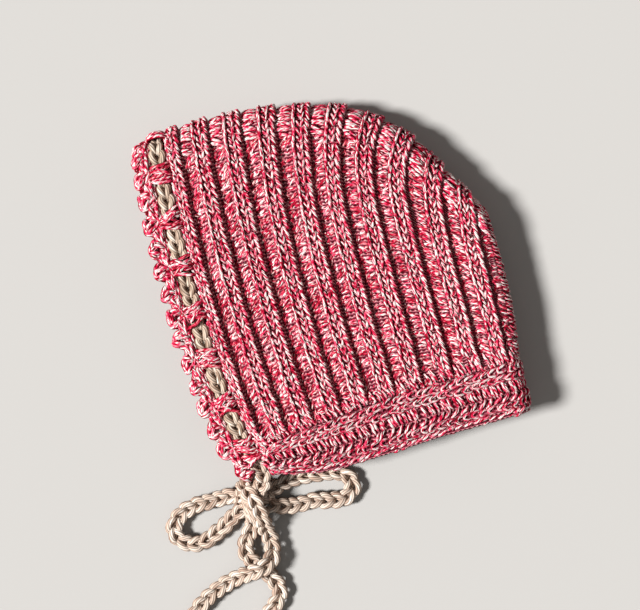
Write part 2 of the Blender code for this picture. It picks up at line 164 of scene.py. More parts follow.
cordSweep = {                 # the cord's line behind the neck corner, in shares of the depth
    "neckX": 0.0492,
    "middleX": -0.0295,
    "crownX": -0.0066,
    "neckTurn": 4.6,          # the higher, the shorter the bend at that end
    "crownTurn": 4,
}


def cordLineX(y):
    share = y / bonnet["faceHeight"]
    atNeck = (cordSweep["neckX"] - cordSweep["middleX"]) * (1 - share) ** cordSweep["neckTurn"]
    atCrown = (cordSweep["crownX"] - cordSweep["middleX"]) * np.maximum(share, 0) ** cordSweep["crownTurn"]
    return bonnet["depth"] * (atNeck + atCrown + cordSweep["middleX"])


def measured(points):
    # The points from the crown down to the neck, with each one's distance from the crown.
    points = np.array(points)[::-1]
    steps = np.linalg.norm(np.diff(points, axis=0), axis=1)
    return points, np.concatenate(([0.0], np.cumsum(steps)))


def ribLine(place):
    # Before the first rib, the line leans over to the face edging.
    ribPlace = max(place, ribs[0].place)
    *across, height, turn = (readTable(ribs, column, ribPlace) for column in Rib._fields[1:])
    neckX, bodyX, crownX = (bonnet["depth"] * share for share in across)
    crownY = bonnet["faceHeight"] * height
    neckY = neckLine("seam", neckX)
    forward = (ribs[0].place - min(place, ribs[0].place)) / (ribs[0].place - frontPlace)
    points = []
    for share in np.linspace(-ribRun["belowSeam"], 1, ribRun["steps"]):
        toFoot = (neckX - bodyX) * (1 - share) ** ribRun["neckTurn"]
        toCrown = (crownX - bodyX) * max(share, 0) ** turn
        x = bodyX + toFoot + toCrown
        y = neckY + (crownY - neckY) * share
        edgeX = min(cordLineX(y) + bonnet["edgeHalfWidth"] + bonnet["clearance"], x - bonnet["edgeGap"])
        points.append((x + (edgeX - x) * forward, y))
    return measured(points)


def overTheFold(along):
    # How far in from the outline, and how far above the middle, a point on the outer surface lies.
    turn = np.minimum(np.abs(along) / turnLength, 1) * math.pi / 2
    inset = foldRadius * (1 - np.cos(turn)) + np.maximum(np.abs(along) - turnLength, 0)
    return inset, np.sign(along) * halfHeight * np.sin(turn)


def unit(vectors):
    return vectors / np.maximum(np.linalg.norm(vectors, axis=-1, keepdims=True), 1e-12)


class Surface:
    # A bent surface kept as a grid of points, and read anywhere between them.
    def __init__(self, firsts, seconds, points):
        self.firsts = firsts
        self.seconds = seconds
        self.points = points
        normals = np.cross(np.gradient(points, axis=1), np.gradient(points, axis=0))
        self.normals = unit(normals)

    def read(self, grid, first, second):
        row = np.interp(first, self.firsts, np.arange(len(self.firsts)))
        column = np.interp(second, self.seconds, np.arange(len(self.seconds)))
        low = np.minimum(row.astype(int), len(self.firsts) - 2)
        left = np.minimum(column.astype(int), len(self.seconds) - 2)
        down = (row - low)[..., None]
        right = (column - left)[..., None]
        upper = grid[low, left] * (1 - right) + grid[low, left + 1] * right
        lower = grid[low + 1, left] * (1 - right) + grid[low + 1, left + 1] * right
        return upper * (1 - down) + lower * down

    def at(self, first, second, height):
        normal = unit(self.read(self.normals, first, second))
        return self.read(self.points, first, second) + normal * height[..., None], normal


class CrownSurface(Surface):
    # Read by rib place and by distance from the fold, positive on the upper layer.
    def __init__(self):
        straight = np.linspace(frontPlace, backPlace - bonnet["backRadius"] / backSpacing, 230)
        turning = 1 - np.sin(np.linspace(math.pi / 2, 0, 26)[1:])
        rounded = backPlace - bonnet["backRadius"] / backSpacing * (1 - turning)
        places = np.concatenate([straight, rounded])
        shares = np.linspace(-1, 1, 301)
        self.reach = np.empty(len(places))
        self.seam = np.empty(len(places))
        points = np.empty((len(places), len(shares), 3))
        for row, place in enumerate(places):
            line, distances = ribLine(place)
            below = distances[-1] * ribRun["belowSeam"] / (1 + ribRun["belowSeam"])
            self.reach[row] = turnLength + distances[-1] - foldRadius
            self.seam[row] = self.reach[row] - below
            inset, rise = overTheFold(shares * self.reach[row])
            toBack = min((backPlace - place) * backSpacing / bonnet["backRadius"], 1)
            rise = rise * math.sqrt(max(1 - (1 - toBack) ** 2, 0))
            points[row, :, 0] = np.interp(inset, distances, line[:, 0])
            points[row, :, 1] = np.interp(inset, distances, line[:, 1])
            points[row, :, 2] = halfHeight + rise
        super().__init__(places, shares, points)
        self.normals[-1] = self.normals[-2]

    def seamAt(self, place):
        return np.interp(place, self.firsts, self.seam)

    def at(self, place, along, height):
        return super().at(place, along / np.interp(place, self.firsts, self.reach), height)


def makeEdgeSurface():
    # Read by distance from the fold, and by distance forward of the cord's line.
    heights = np.linspace(-bonnet["edgingBelowNeck"], bonnet["faceHeight"] * 0.995, 80)
    line, distances = measured(np.stack([cordLineX(heights), heights], axis=1))
    alongs = np.linspace(-1, 1, 401) * (turnLength + distances[-1] - foldRadius)
    forwards = np.linspace(-8 * mm, 18 * mm, 27)    # from behind the rails to beyond the picots
    inset, rise = overTheFold(alongs)
    reach = bonnet["edgeHalfWidth"] + bonnet["clearance"] + bonnet["picotReach"]
    ahead = (np.maximum(forwards, 0) / reach) ** 2
    fading = np.maximum(1 - inset / bonnet["droopLength"], 0)
    points = np.empty((len(alongs), len(forwards), 3))
    points[:, :, 0] = np.interp(inset, distances, line[:, 0])[:, None] - forwards[None, :]
    points[:, :, 1] = np.interp(inset, distances, line[:, 1])[:, None]
    points[:, :, 1] -= bonnet["foldDroop"] * fading[:, None] * ahead[None, :]
    points[:, :, 2] = (halfHeight + rise)[:, None]
    return Surface(alongs, forwards, points)


def makeBandSurface():
    # Read by distance round the neck from the middle of the closed back, and by share from hem to seam.
    level = neckBack - bonnet["backRadius"] - bonnet["neckBandFront"]
    rounds = np.linspace(-1, 1, 301) * (backTurnLength + level)
    shares = np.linspace(-0.1, 1.2, 27)
    turn = np.minimum(np.abs(rounds) / backTurnLength, 1) * math.pi / 2
    x = neckBack - bonnet["backRadius"] * (1 - np.cos(turn)) - np.maximum(np.abs(rounds) - backTurnLength, 0)
    hem = neckLine("hem", x)
    seam = neckLine("seam", x)
    points = np.empty((len(rounds), len(shares), 3))
    points[:, :, 0] = x[:, None]
    points[:, :, 1] = hem[:, None] + (seam - hem)[:, None] * shares[None, :]
    points[:, :, 2] = (halfHeight + np.sign(rounds) * halfHeight * np.sin(turn))[:, None]
    return Surface(rounds, shares, points)


crownSurface = CrownSurface()
edgeSurface = makeEdgeSurface()
bandSurface = makeBandSurface()
for surface, row, column in ((crownSurface, 100, 200), (edgeSurface, 300, 10), (bandSurface, 250, 10)):
    if surface.normals[row, column, 2] < 0:
        surface.normals *= -1
print("surfaces are ready")


class Wire:
    # One output of a shader node, so that sums on it are written as sums.
    def __init__(self, shader, socket):
        self.shader = shader
        self.socket = socket

    def sum(self, operation, *values):
        return self.shader.node("ShaderNodeMath", {"operation": operation}, dict(enumerate(values)))

    def __add__(self, other):
        return self.sum("ADD", self, other)

    def __sub__(self, other):
        return self.sum("SUBTRACT", self, other)

    def __mul__(self, other):
        return self.sum("MULTIPLY", self, other)

    def __rsub__(self, other):
        return self.sum("SUBTRACT", other, self)

    def __mod__(self, other):
        return self.sum("FLOORED_MODULO", self, other)

    __radd__ = __add__
    __rmul__ = __mul__

    def floor(self):
        return self.sum("FLOOR", self)

    def wave(self):
        return self.sum("SINE", self)


class Shader:
    def __init__(self, name):
        self.material = bpy.data.materials.new(name)
        self.material.use_nodes = True
        self.nodes = self.material.node_tree.nodes
        self.links = self.material.node_tree.links
        self.surface = self.nodes["Principled BSDF"]

    def node(self, kind, settings=None, sockets=None, output=0):
        made = self.nodes.new(kind)
        for name, value in (settings or {}).items():
            if name == "stops":
                self.setStops(made.color_ramp, value)
            else:
                setattr(made, name, value)
        for name, value in (sockets or {}).items():
            self.feed(made.inputs[name], value)
        return Wire(self, made.outputs[output])

    def feed(self, socket, value):
        if isinstance(value, Wire):
            self.links.new(value.socket, socket)
        else:
            socket.default_value = value

    def yarnPlace(self):
        # The way round each strand, and the centimetres along it.
        place = self.node("ShaderNodeUVMap", {"uv_map": "yarn"})
        axes = [self.node("ShaderNodeSeparateXYZ", sockets={0: place}, output=axis) for axis in (0, 1)]
        return place, *axes

    def noise(self, spot, detail, scale=1.0):
        if isinstance(spot, tuple):
            spot = self.node("ShaderNodeCombineXYZ", sockets=dict(enumerate(spot)))
        return self.node("ShaderNodeTexNoise", sockets={"Vector": spot, "Scale": scale, "Detail": detail})

    def bump(self, height, strength, distance):
        sockets = {"Height": height, "Strength": strength, "Distance": distance}
        return self.node("ShaderNodeBump", sockets=sockets)

    def setStops(self, ramp, stops):
        while len(ramp.elements) < len(stops):
            ramp.elements.new(0.5)
        for element, (position, colour) in zip(ramp.elements, stops):
            element.position = position
            element.color = (*colour, 1)

    def finish(self, **sockets):
        for name, value in sockets.items():
            self.feed(self.surface.inputs[name.replace("_", " ")], value)
        return self.material


yarnGrain = {                 # how the plies and fibres lie, the same in each yarn
    "plyApart": 3.7,          # how far from one another the plies read their shades
    "shadesAround": 0.7,
    "fibreAcross": 9,
    "fibreAlong": 6,
    "fibreAround": 0.5,
    "lit": 0.80,              # the sine of the way round a strand where its painted shade starts to fall
    "dark": -0.40,
    "fibreInRelief": 0.25,
    "relief": 0.3 * mm,
}


def makeYarnShader(name, look):
    # Plies twisted round each strand, each with its own run of shades.
    shader = Shader(name)
    place, around, along = shader.yarnPlace()
    twisted = around * look["plies"] + along * (look["plies"] / look["turnLength"])
    ply = twisted.floor() % look["plies"]
    rounded = ((twisted % 1) * math.pi).wave()
    spot = (ply * yarnGrain["plyApart"], along * look["runs"], around * yarnGrain["shadesAround"])
    heather = shader.noise(spot, 1.0)
    fibre = shader.noise((
        twisted * yarnGrain["fibreAcross"],
        along * yarnGrain["fibreAlong"],
        around * yarnGrain["fibreAround"],
    ), 2.0)
    # painted shade: a strand's colour is darkened low on its sides and underneath, where shade falls
    paintedSideShade = shader.node("ShaderNodeMapRange", sockets={
        "Value": (around * (2 * math.pi)).wave(),
        "From Min": yarnGrain["lit"],
        "From Max": yarnGrain["dark"],
        "To Min": 0.0,
        "To Max": look["paintedSideShade"],
    })
    shade = (heather - 0.5) * look["heather"] + look["start"] + (fibre - 0.5) * look["fibre"] - paintedSideShade
    colour = shader.node("ShaderNodeValToRGB", {"stops": look["shades"]}, {"Fac": shade})
    # painted shade: the colour is darkened in the grooves between the plies
    plyGrooveShade = rounded * (1 - look["plyGrooveShade"]) + look["plyGrooveShade"]
    dark = shader.node("ShaderNodeCombineColor", sockets={0: plyGrooveShade, 1: plyGrooveShade, 2: plyGrooveShade})
    plyShadedColour = shader.node("ShaderNodeMix", {"data_type": "RGBA", "blend_type": "MULTIPLY"},
                          {"Factor": 1.0, 6: colour, 7: dark}, output=2)
    height = rounded * (1 - yarnGrain["fibreInRelief"]) + fibre * yarnGrain["fibreInRelief"]
    return shader.finish(Base_Color=plyShadedColour, Roughness=look["roughness"], Specular_IOR_Level=look["shine"],
                         Normal=shader.bump(height, look["bump"], yarnGrain["relief"]))


heatherLook = {
    "plies": 8,               # as they show round a strand
    "turnLength": 1.7,        # cm along the strand for one full turn
    "runs": 3.6,              # changes of shade for each cm
    "heather": 3.2,           # how far apart the shades are
    "start": 0.600,
    "fibre": 0.30,
    "plyGrooveShade": 0.30,
    "paintedSideShade": 1.05,           # how far the painted shade darkens a strand's sides
    "bump": 0.9,
    "roughness": 0.85,
    "shine": 0.12,
    "shades": (
        (0.00, (0.20, 0.001, 0.009)),
        (0.28, (0.68, 0.002, 0.040)),
        (0.46, (0.96, 0.045, 0.150)),
        (0.64, (1.00, 0.330, 0.390)),
        (0.84, (1.00, 0.900, 0.850)),
    ),
}
shadedValleyLook = {                # a darker copy of the same yarn, as painted shade where it lies deep between the ribs
    **heatherLook,
    "start": 0.48,
    "shades": (
        (0.00, (0.16, 0.001, 0.008)),
        (0.30, (0.54, 0.003, 0.030)),
        (0.55, (0.86, 0.045, 0.110)),
        (0.80, (1.00, 0.320, 0.350)),
        (1.00, (1.00, 0.720, 0.660)),
    ),
}
cordLook = {
    "plies": 7,
    "turnLength": 2.6,
    "runs": 1.2,
    "heather": 1.5,
    "start": 0.60,
    "fibre": 0.5,
    "plyGrooveShade": 0.30,
    "paintedSideShade": 0.42,
    "bump": 0.9,
    "roughness": 0.9,
    "shine": 0.12,
    "shades": (
        (0.00, (0.16, 0.080, 0.050)),
        (0.30, (0.44, 0.290, 0.215)),
        (0.60, (0.72, 0.560, 0.450)),
        (0.90, (0.95, 0.830, 0.720)),
    ),
}
shadedCordLook = {              # a darker copy of the cord's yarn, as painted shade where it lies in the eyelets
    **cordLook,
    "start": 0.56,
    "shades": (
        (0.00, (0.11, 0.056, 0.034)),
        (0.30, (0.38, 0.250, 0.176)),
        (0.60, (0.66, 0.505, 0.390)),
        (0.90, (0.93, 0.815, 0.690)),
    ),
}
backingLook = {
    # painted shade: the ground's outer face is near black, so the gaps between the strands read as shade
    "outside": (0.06, 0.001, 0.004),
    "inside": (0.42, 0.06, 0.11),
    "insideLight": (0.75, 0.42, 0.40),
    "rows": 4,                # in each cm of the wrong side
    "stitches": 5.0,          # in each cm of a row
    "rowSlant": 0.8,
    "mottle": 26.0,
    "relief": 0.8 * mm,
    "roughness": 0.95,
    "shine": 0.1,
}


def makeBackingShader():
    shader = Shader("shadedGroundYarn")
    return shader.finish(Base_Color=(*backingLook["outside"], 1), Roughness=backingLook["roughness"],
                         Specular_IOR_Level=backingLook["shine"])


def makeInsideShader():
    # The wrong side of the fabric: level rows of short stitches.
    shader = Shader("insideYarn")
    place, across, along = shader.yarnPlace()
    rows = (across * (2 * math.pi * backingLook["rows"])).wave()
    stitches = (along * (2 * math.pi * backingLook["stitches"]) + rows * backingLook["rowSlant"]).wave()
    mottle = shader.noise(place, 3.0, backingLook["mottle"])
    shade = stitches * 0.28 + mottle * 0.9 - 0.1 + rows * 0.12
    stops = zip((0.1, 0.45, 0.8), (backingLook[name] for name in ("outside", "inside", "insideLight")))
    colour = shader.node("ShaderNodeValToRGB", {"stops": tuple(stops)}, {"Fac": shade})
    return shader.finish(Base_Color=colour, Roughness=backingLook["roughness"],
                         Specular_IOR_Level=backingLook["shine"],
                         Normal=shader.bump(stitches + rows * 0.6, 0.8, backingLook["relief"]))


heatherYarn = makeYarnShader("heatherYarn", heatherLook)
shadedValleyYarn = makeYarnShader("shadedValleyYarn", shadedValleyLook)
cordYarn = makeYarnShader("cordYarn", cordLook)
shadedCordYarn = makeYarnShader("shadedCordYarn", shadedCordLook)
shadedGroundYarn = makeBackingShader()
insideYarn = makeInsideShader()
print("shaders are ready")


def smoothThrough(controls, shares):
    # A smooth curve through each strand's own points, as (strands, points, axes), read at the shares.
    last = controls.shape[1] - 1
    spot = np.clip(shares * last, 0, last - 1e-9)
    first = spot.astype(int)
    share = (spot - first)[None, :, None]
    slopes = np.gradient(controls, axis=1)
    start, end = controls[:, first], controls[:, first + 1]
    leaving, arriving = slopes[:, first], slopes[:, first + 1]
    rest = 1 - share
    return (start * (1 + 2 * share) * rest ** 2 + end * (1 + 2 * rest) * share ** 2
            + leaving * share * rest ** 2 - arriving * rest * share ** 2)


def ringShares(rings):
    # The first and last ring close the tube's round ends.
    inner = np.linspace(0.05, 0.95, rings - 2)
    return np.concatenate([[0.0], inner, [1.0]])


def ringWidths(rings, taper):
    widths = np.ones(rings)
    widths[[0, -1]] = 0
    widths[[1, -2]] = taper
    widths[[2, -3]] = (1 + taper) / 2
    return widths


def makeTube(sides, rings):
    # A straight tube with closed ends, a ring of points for each step of its length.
    tube = bmesh.new()
    tube.loops.layers.uv.new("yarn")
    bmesh.ops.create_grid(tube, x_segments=sides, y_segments=rings - 1, size=0.5, calc_uvs=True)
    for vertex in tube.verts:
        turn = (vertex.co.x + 0.5) * 2 * math.pi
        ring = round((vertex.co.y + 0.5) * (rings - 1))
        reach = 0 if ring in (0, rings - 1) else 1
        vertex.co = (math.cos(turn) * reach, math.sin(turn) * reach, ring)
    bmesh.ops.remove_doubles(tube, verts=tube.verts, dist=0.0001)
    bmesh.ops.recalc_face_normals(tube, faces=tube.faces)
    mesh = bpy.data.meshes.new("tube")
    tube.to_mesh(mesh)
    tube.free()
    return mesh


def addPiece(name, mesh, material):
    piece = bpy.data.objects.new(name, mesh)
    scene.collection.objects.link(piece)
    mesh.materials.clear()
    mesh.materials.append(material)
    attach(piece, "root")
    return piece


strandMake = {
    "sides": 6,
    "taper": 0.68,            # the width of a strand's ends, as a share of its middle
    "floorGap": 0.05 * mm,
    "yarnStart": 60,          # cm of yarn that a strand's shades may start in
}


def copyTube(name, tube, count):
    # Copies of one tube in a single mesh, made by an Array modifier.
    holder = bpy.data.objects.new("holder", tube)
    scene.collection.objects.link(holder)
    copies = holder.modifiers.new("Copies", "ARRAY")
    copies.count = count
    copies.use_merge_vertices = False
    graph = bpy.context.evaluated_depsgraph_get()
    mesh = bpy.data.meshes.new_from_object(holder.evaluated_get(graph))
    mesh.name = name
    bpy.data.objects.remove(holder, do_unlink=True)
    return mesh


def carried(ups, tangents):
    # The upward side of each strand, carried along it without a twist.
    frames = np.empty_like(ups)
    held = ups[:, 0]
    for step in range(ups.shape[1]):
        along = tangents[:, step]
        held = unit(held - along * np.sum(held * along, axis=1, keepdims=True))
        frames[:, step] = held
    return frames


def makeStrands(name, bundles, material, sides=strandMake["sides"], taper=strandMake["taper"],
                shadedMaterial=None):
    # One mesh of many copies of a tube, each bent along its own strand. A bundle holds strands'
    # centre lines, upward sides and radii, and it may say which of them take the yarn's darker copy, as painted
    # shade.
    centres, ups, radii = (np.concatenate([bundle[item] for bundle in bundles]) for item in range(3))
    count, rings = centres.shape[:2]
    # what rests on the floor is flattened there
    centres[:, :, 2] = np.maximum(centres[:, :, 2], radii[:, None] + strandMake["floorGap"])
    tube = makeTube(sides, rings)
    mesh = copyTube(name, tube, count)
    straight = np.empty(len(tube.vertices) * 3)
    tube.vertices.foreach_get("co", straight)
    straight = straight.reshape(-1, 3)
    ring = np.round(straight[:, 2]).astype(int)
    tangents = unit(np.gradient(centres, axis=1))
    frames = carried(ups, tangents)
    sideways = np.cross(frames, tangents)
    width = (radii[:, None] * ringWidths(rings, taper)[None, :])[:, ring, None]
    outward = sideways[:, ring] * straight[None, :, 0:1] + frames[:, ring] * straight[None, :, 1:2]
    places = centres[:, ring] + width * outward + cornerShift
    mesh.vertices.foreach_set("co", places.ravel())
    corners = np.empty(len(tube.loops), dtype=int)
    tube.loops.foreach_get("vertex_index", corners)
    flat = np.empty(len(tube.loops) * 2)
    tube.uv_layers["yarn"].uv.foreach_get("vector", flat)
    steps = np.linalg.norm(np.diff(centres, axis=1), axis=2)
    run = np.concatenate([np.zeros((count, 1)), np.cumsum(steps, axis=1)], axis=1) / cm
    run += dice.uniform(0, strandMake["yarnStart"], (count, 1))
    spots = np.empty((count, len(corners), 2))
    spots[:, :, 0] = flat.reshape(-1, 2)[:, 0]
    spots[:, :, 1] = run[:, ring[corners]]
    mesh.uv_layers["yarn"].uv.foreach_set("vector", spots.ravel())
    mesh.shade_smooth()
    mesh.update()
    piece = addPiece(name, mesh, material)
    if shadedMaterial:
        mesh.materials.append(shadedMaterial)
        inShade = [np.broadcast_to(bundle[3] if len(bundle) > 3 else 0, len(bundle[0])) for bundle in bundles]
        inShade = np.concatenate(inShade).astype(int)
        mesh.polygons.foreach_set("material_index", np.repeat(inShade, len(tube.polygons)))
    print(name, count, "strands,", len(mesh.polygons), "faces")
    return piece


def strandsOn(surface, firsts, seconds, heights, radius, rings=9):
    # Strands whose bends are given on a surface; each array is (strands, bends).
    controls = np.stack([firsts, seconds, heights], axis=2)
    bent = smoothThrough(controls, ringShares(rings))
    centres, normals = surface.at(bent[:, :, 0], bent[:, :, 1], bent[:, :, 2])
    return centres, normals, np.broadcast_to(radius, len(centres)) * 1.0


def uneven(values, count, whole, single):
    # The bends' values for each strand, moved a little as a whole and one by one.
    return values + (dice.normal(0, whole, (count, 1)) + dice.normal(0, single, (count, values.shape[-1])))


crownLook = {
    "stitch": 4.1 * mm,
    "unevenPlace": 0.011,     # in ribs
    "unevenAlong": 0.26 * mm,
    "unevenHeight": 0.12 * mm,
    "lateralUneven": 1.7,     # how much more uneven the valleys' strands are than the braid
    "lateralShift": 0.25,     # these lie this share of a stitch to either side of its middle
    "raisedShaded": 0.3,        # the share of the raised ones that take the valleys' darker copy of the yarn, as painted shade
    "seamGap": 1.5 * mm,
    "lateralGap": 3 * mm,
    "foldReach": 24 * mm,     # the stretch at the fold with shallow valleys, crossed by long full strands
    "fade": 7 * mm,           # the ribs run out in this stretch above the neck band
    "fadedHeight": -1.3 * mm,
    "groundWall": 1.2 * mm,
    "groundFade": 6 * mm,
    "groundFadedHeight": -2.6 * mm,
}
Strand = namedtuple("Strand", "radius bends")      # each bend: offset in ribs, mm towards the crown, mm high
braid = {
    "leftLine": Strand(0.96, (
        (-0.382, -3.1, -1.7), (-0.376, -1.5, -0.5), (-0.358, 1.2, -0.3), (-0.340, 3.2, -1.5))),
    "leftArm": Strand(0.76, (
        (-0.290, 1.8, -1.9), (-0.258, 0.8, -0.7), (-0.210, -0.8, -0.5), (-0.168, -2.3, -1.7))),
    "middleArm": Strand(0.84, (
        (-0.165, -2.3, -1.6), (-0.142, -0.9, -0.4), (-0.108, 0.9, -0.2), (-0.085, 2.2, -1.4))),
    "rightArm": Strand(0.98, (
        (-0.040, 3.0, -1.6), (-0.010, 1.4, -0.3), (0.045, -1.1, -0.2), (0.088, -2.8, -1.3))),
}
laterals = {
    "deepRising": Strand(0.85, (
        (0.110, -1.9, -3.9), (0.190, -0.8, -3.3), (0.280, 0.7, -3.1), (0.360, 1.9, -3.7))),
    "deepFalling": Strand(0.75, (
        (0.130, 1.2, -4.0), (0.210, 0.5, -3.5), (0.300, -0.4, -3.3), (0.380, -1.2, -3.9))),
    "raised": Strand(0.95, (
        (0.250, -1.4, -4.1), (0.330, -0.9, -3.2), (0.430, -0.1, -2.6), (0.540, 0.7, -1.9), (0.630, 1.0, -2.4))),
}
foldLateral = Strand(1.10, (
    (0.110, 0.3, -3.4), (0.200, 0.4, -2.2), (0.340, 0.1, -1.7), (0.480, -0.4, -1.5), (0.630, -0.8, -2.2)))
backWrap = Strand(0.75, ((0.52, 0.3, -1.5), (0.60, 0.4, -0.7), (0.68, 0.5, -0.5), (0.75, 0.5, -0.6)))


def ribStitches(rib):
    # Distances from the fold of the stitches of one rib, and their pitch.
    reach = crownSurface.seamAt(rib) - crownLook["seamGap"]
    count = max(round(reach / crownLook["stitch"]), 1)
    pitch = reach / count
    return (np.arange(count) + 0.5) * pitch, pitch


def bendOnCrown(rib, alongs, strand, side, stretch=1.0, shift=0.0, swing=0.12, unevenness=1.0):
    across, rise, height = np.array(strand.bends).T
    count = len(alongs)
    stretch = stretch * (1 + dice.normal(0, swing, (count, 1)))
    place, along, up = (crownLook[name] * unevenness for name in ("unevenPlace", "unevenAlong", "unevenHeight"))
    places = np.clip(uneven(rib + across, count, place, place * 0.5), frontPlace, backPlace)
    alongs = uneven(alongs[:, None] - (rise * stretch + shift) * mm, count, along, along * 0.6)
    heights = uneven(height * mm, count, up, up)
    fade = np.clip(1 - (crownSurface.seamAt(rib) - alongs) / crownLook["fade"], 0, 1)
    heights = heights * (1 - fade) + crownLook["fadedHeight"] * fade
    return strandsOn(crownSurface, places, side * alongs, heights, strand.radius * mm)


def makeCrownStitches(name, ribNumbers, side):
    bundles = []
    unevenness = crownLook["lateralUneven"]
    for rib in ribNumbers:
        alongs, pitch = ribStitches(rib)
        for part, strand in braid.items():
            if rib == 1 and part == "leftLine":
                continue
            bundles.append(bendOnCrown(rib, alongs, strand, side, pitch / crownLook["stitch"]))
        clear = alongs[alongs < crownSurface.seamAt(rib) - crownLook["lateralGap"]]
        atFold = clear[clear < crownLook["foldReach"]]
        beyondFold = clear[clear >= crownLook["foldReach"]]
        shifts = [share * crownLook["lateralShift"] * pitch / mm for share in (-1, 1)]
        for shift in shifts:
            bundles.append(bendOnCrown(rib, atFold, foldLateral, side, 1, shift, 1.2, unevenness))
            for part, strand in laterals.items():
                raised = part == "raised"
                placed = beyondFold if raised else clear
                bundle = bendOnCrown(rib, placed, strand, side, 1, shift, 0.5, unevenness)
                lies = dice.uniform(size=len(placed)) < crownLook["raisedShaded"] if raised else True
                bundles.append((*bundle, lies))
        if rib == ribs[-2].place:
            bundles += [bendOnCrown(rib, clear, backWrap, side, 1, shift) for shift in shifts]
    return makeStrands(name, bundles, heatherYarn, shadedMaterial=shadedValleyYarn)


def makeSheet(name, columns, rows, placePoints, materials, wall, uvScale):
    # A grid set on the surface, given its wall inwards.
    sheet = bmesh.new()
    uvLayer = sheet.loops.layers.uv.new("yarn")
    bmesh.ops.create_grid(sheet, x_segments=columns - 1, y_segments=rows - 1, size=0.5, calc_uvs=True)
    for face in sheet.faces:
        for loop in face.loops:
            spot = loop.vert.co
            loop[uvLayer].uv = ((spot.x + 0.5) * uvScale[0], (spot.y + 0.5) * uvScale[1])
    column = np.array([round((vertex.co.x + 0.5) * (columns - 1)) for vertex in sheet.verts])
    row = np.array([round((vertex.co.y + 0.5) * (rows - 1)) for vertex in sheet.verts])
    places = placePoints(column, row) + cornerShift
    for vertex, place in zip(sheet.verts, places):
        vertex.co = place
    bmesh.ops.remove_doubles(sheet, verts=sheet.verts, dist=0.00002)
    mesh = bpy.data.meshes.new(name)
    sheet.to_mesh(mesh)
    sheet.free()
    mesh.shade_smooth()
    piece = addPiece(name, mesh, materials[0])
    mesh.materials.append(materials[1])
    solid = piece.modifiers.new("Wall", "SOLIDIFY")
    solid.thickness = wall
    solid.offset = -1
    solid.use_even_offset = False
    solid.material_offset = 1
    return piece


groundProfile = (             # across a rib, from its middle: offset in ribs, mm high
    (-0.30, -2.7), (-0.20, -2.4), (-0.08, -1.9), (0.04, -2.1), (0.14, -3.9), (0.34, -3.8),
    (0.56, -2.7), (0.64, -2.1), (0.70, -2.7),
)


def makeCrownBacking():
    # The ground of the crown's fabric, under its raised strands, near black on its outer face as painted shade.
    offsets, depths = zip(*groundProfile)
    places = np.append(np.arange(frontPlace, backPlace, 0.055), backPlace)
    shares = np.linspace(-1, 1, 101)

    def placePoints(column, row):
        place = places[column]
        offset = (place - offsets[0]) % 1 + offsets[0]
        depth = np.interp(offset, offsets, depths) * mm
        seam = crownSurface.seamAt(place)
        along = shares[row] * seam
        fade = np.clip(1 - (seam - np.abs(along)) / crownLook["groundFade"], 0, 1)
        depth = depth * (1 - fade) + crownLook["groundFadedHeight"] * fade
        return crownSurface.at(place, along, depth)[0]

    piece = makeSheet("crownGround", len(places), len(shares), placePoints,
                      (shadedGroundYarn, insideYarn), crownLook["groundWall"],
                      (bonnet["depth"] / cm, 2 * bonnet["faceHeight"] / cm))
    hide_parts("ribbed_crown")
    return piece


crownGround = makeCrownBacking()
for layer, side in (("Upper", 1), ("Lower", -1)):
    for part, ribNumbers in (("Front", (1, 2, 3)), ("Middle", (4, 5, 6)), ("Back", (7, 8, 9, 10))):
        makeCrownStitches("crownStitches" + layer + part, ribNumbers, side)
print("the crown is made")


seamRow = {
    "pitch": 0.140,           # in ribs
    "hole": (0.12, 0.27),     # a small hole beside the foot of each rib
    "upright": Strand(0.80, ((0.03, -1.2, -2.2), (0.02, 0.5, -1.2), (-0.03, 2.6, -1.1), (-0.10, 4.8, -2.1))),
}


def makeSeamRow():
    # Short upright stitches between the ribs' ends and the neck band.
    bundles = []
    places = np.arange(frontPlace + 0.12, backPlace - 0.05, seamRow["pitch"])
    places = places[(places % 1 < seamRow["hole"][0]) | (places % 1 > seamRow["hole"][1])]
    seams = crownSurface.seamAt(places)
    count = len(places)
    across, rise, height = np.array(seamRow["upright"].bends).T
    for side in (1, -1):
        placed = np.clip(uneven(places[:, None] + across, count, 0.03, 0.012), frontPlace, backPlace)
        alongs = uneven(seams[:, None] - rise * mm, count, 0.6 * mm, 0.25 * mm)
        heights = uneven(height * mm, count, 0.3 * mm, 0.1 * mm)
        bundles.append(strandsOn(crownSurface, placed, side * alongs, heights, seamRow["upright"].radius * mm))
    return bundles


bandLook = {
    "stitch": 4.3 * mm,
    "wall": 1.2 * mm,
}
bandShort = {                 # each bend: mm towards the back, share from hem to seam, mm high
    "hem": Strand(0.88, ((-3.2, 0.035, -2.4), (-1.0, 0.050, -1.4), (1.5, 0.075, -1.3), (3.4, 0.110, -2.3))),
    "underHem": Strand(0.95, (
        (-2.6, 0.010, -3.4), (-0.8, 0.000, -2.6), (1.2, 0.000, -2.6), (2.8, 0.015, -3.4))),
    "chevron": Strand(0.92, (
        (-2.3, 0.250, -1.6), (-0.7, 0.300, -0.5), (0.9, 0.350, -0.4), (2.1, 0.410, -1.4))),
    "upright": Strand(0.92, (
        (-0.6, 0.680, -2.3), (-0.1, 0.590, -1.0), (0.5, 0.490, -0.9), (1.1, 0.400, -1.7))),
    "uprightBeside": Strand(0.90, (
        (1.5, 0.680, -2.4), (1.9, 0.590, -1.3), (2.3, 0.490, -1.1), (3.2, 0.410, -2.0))),
}
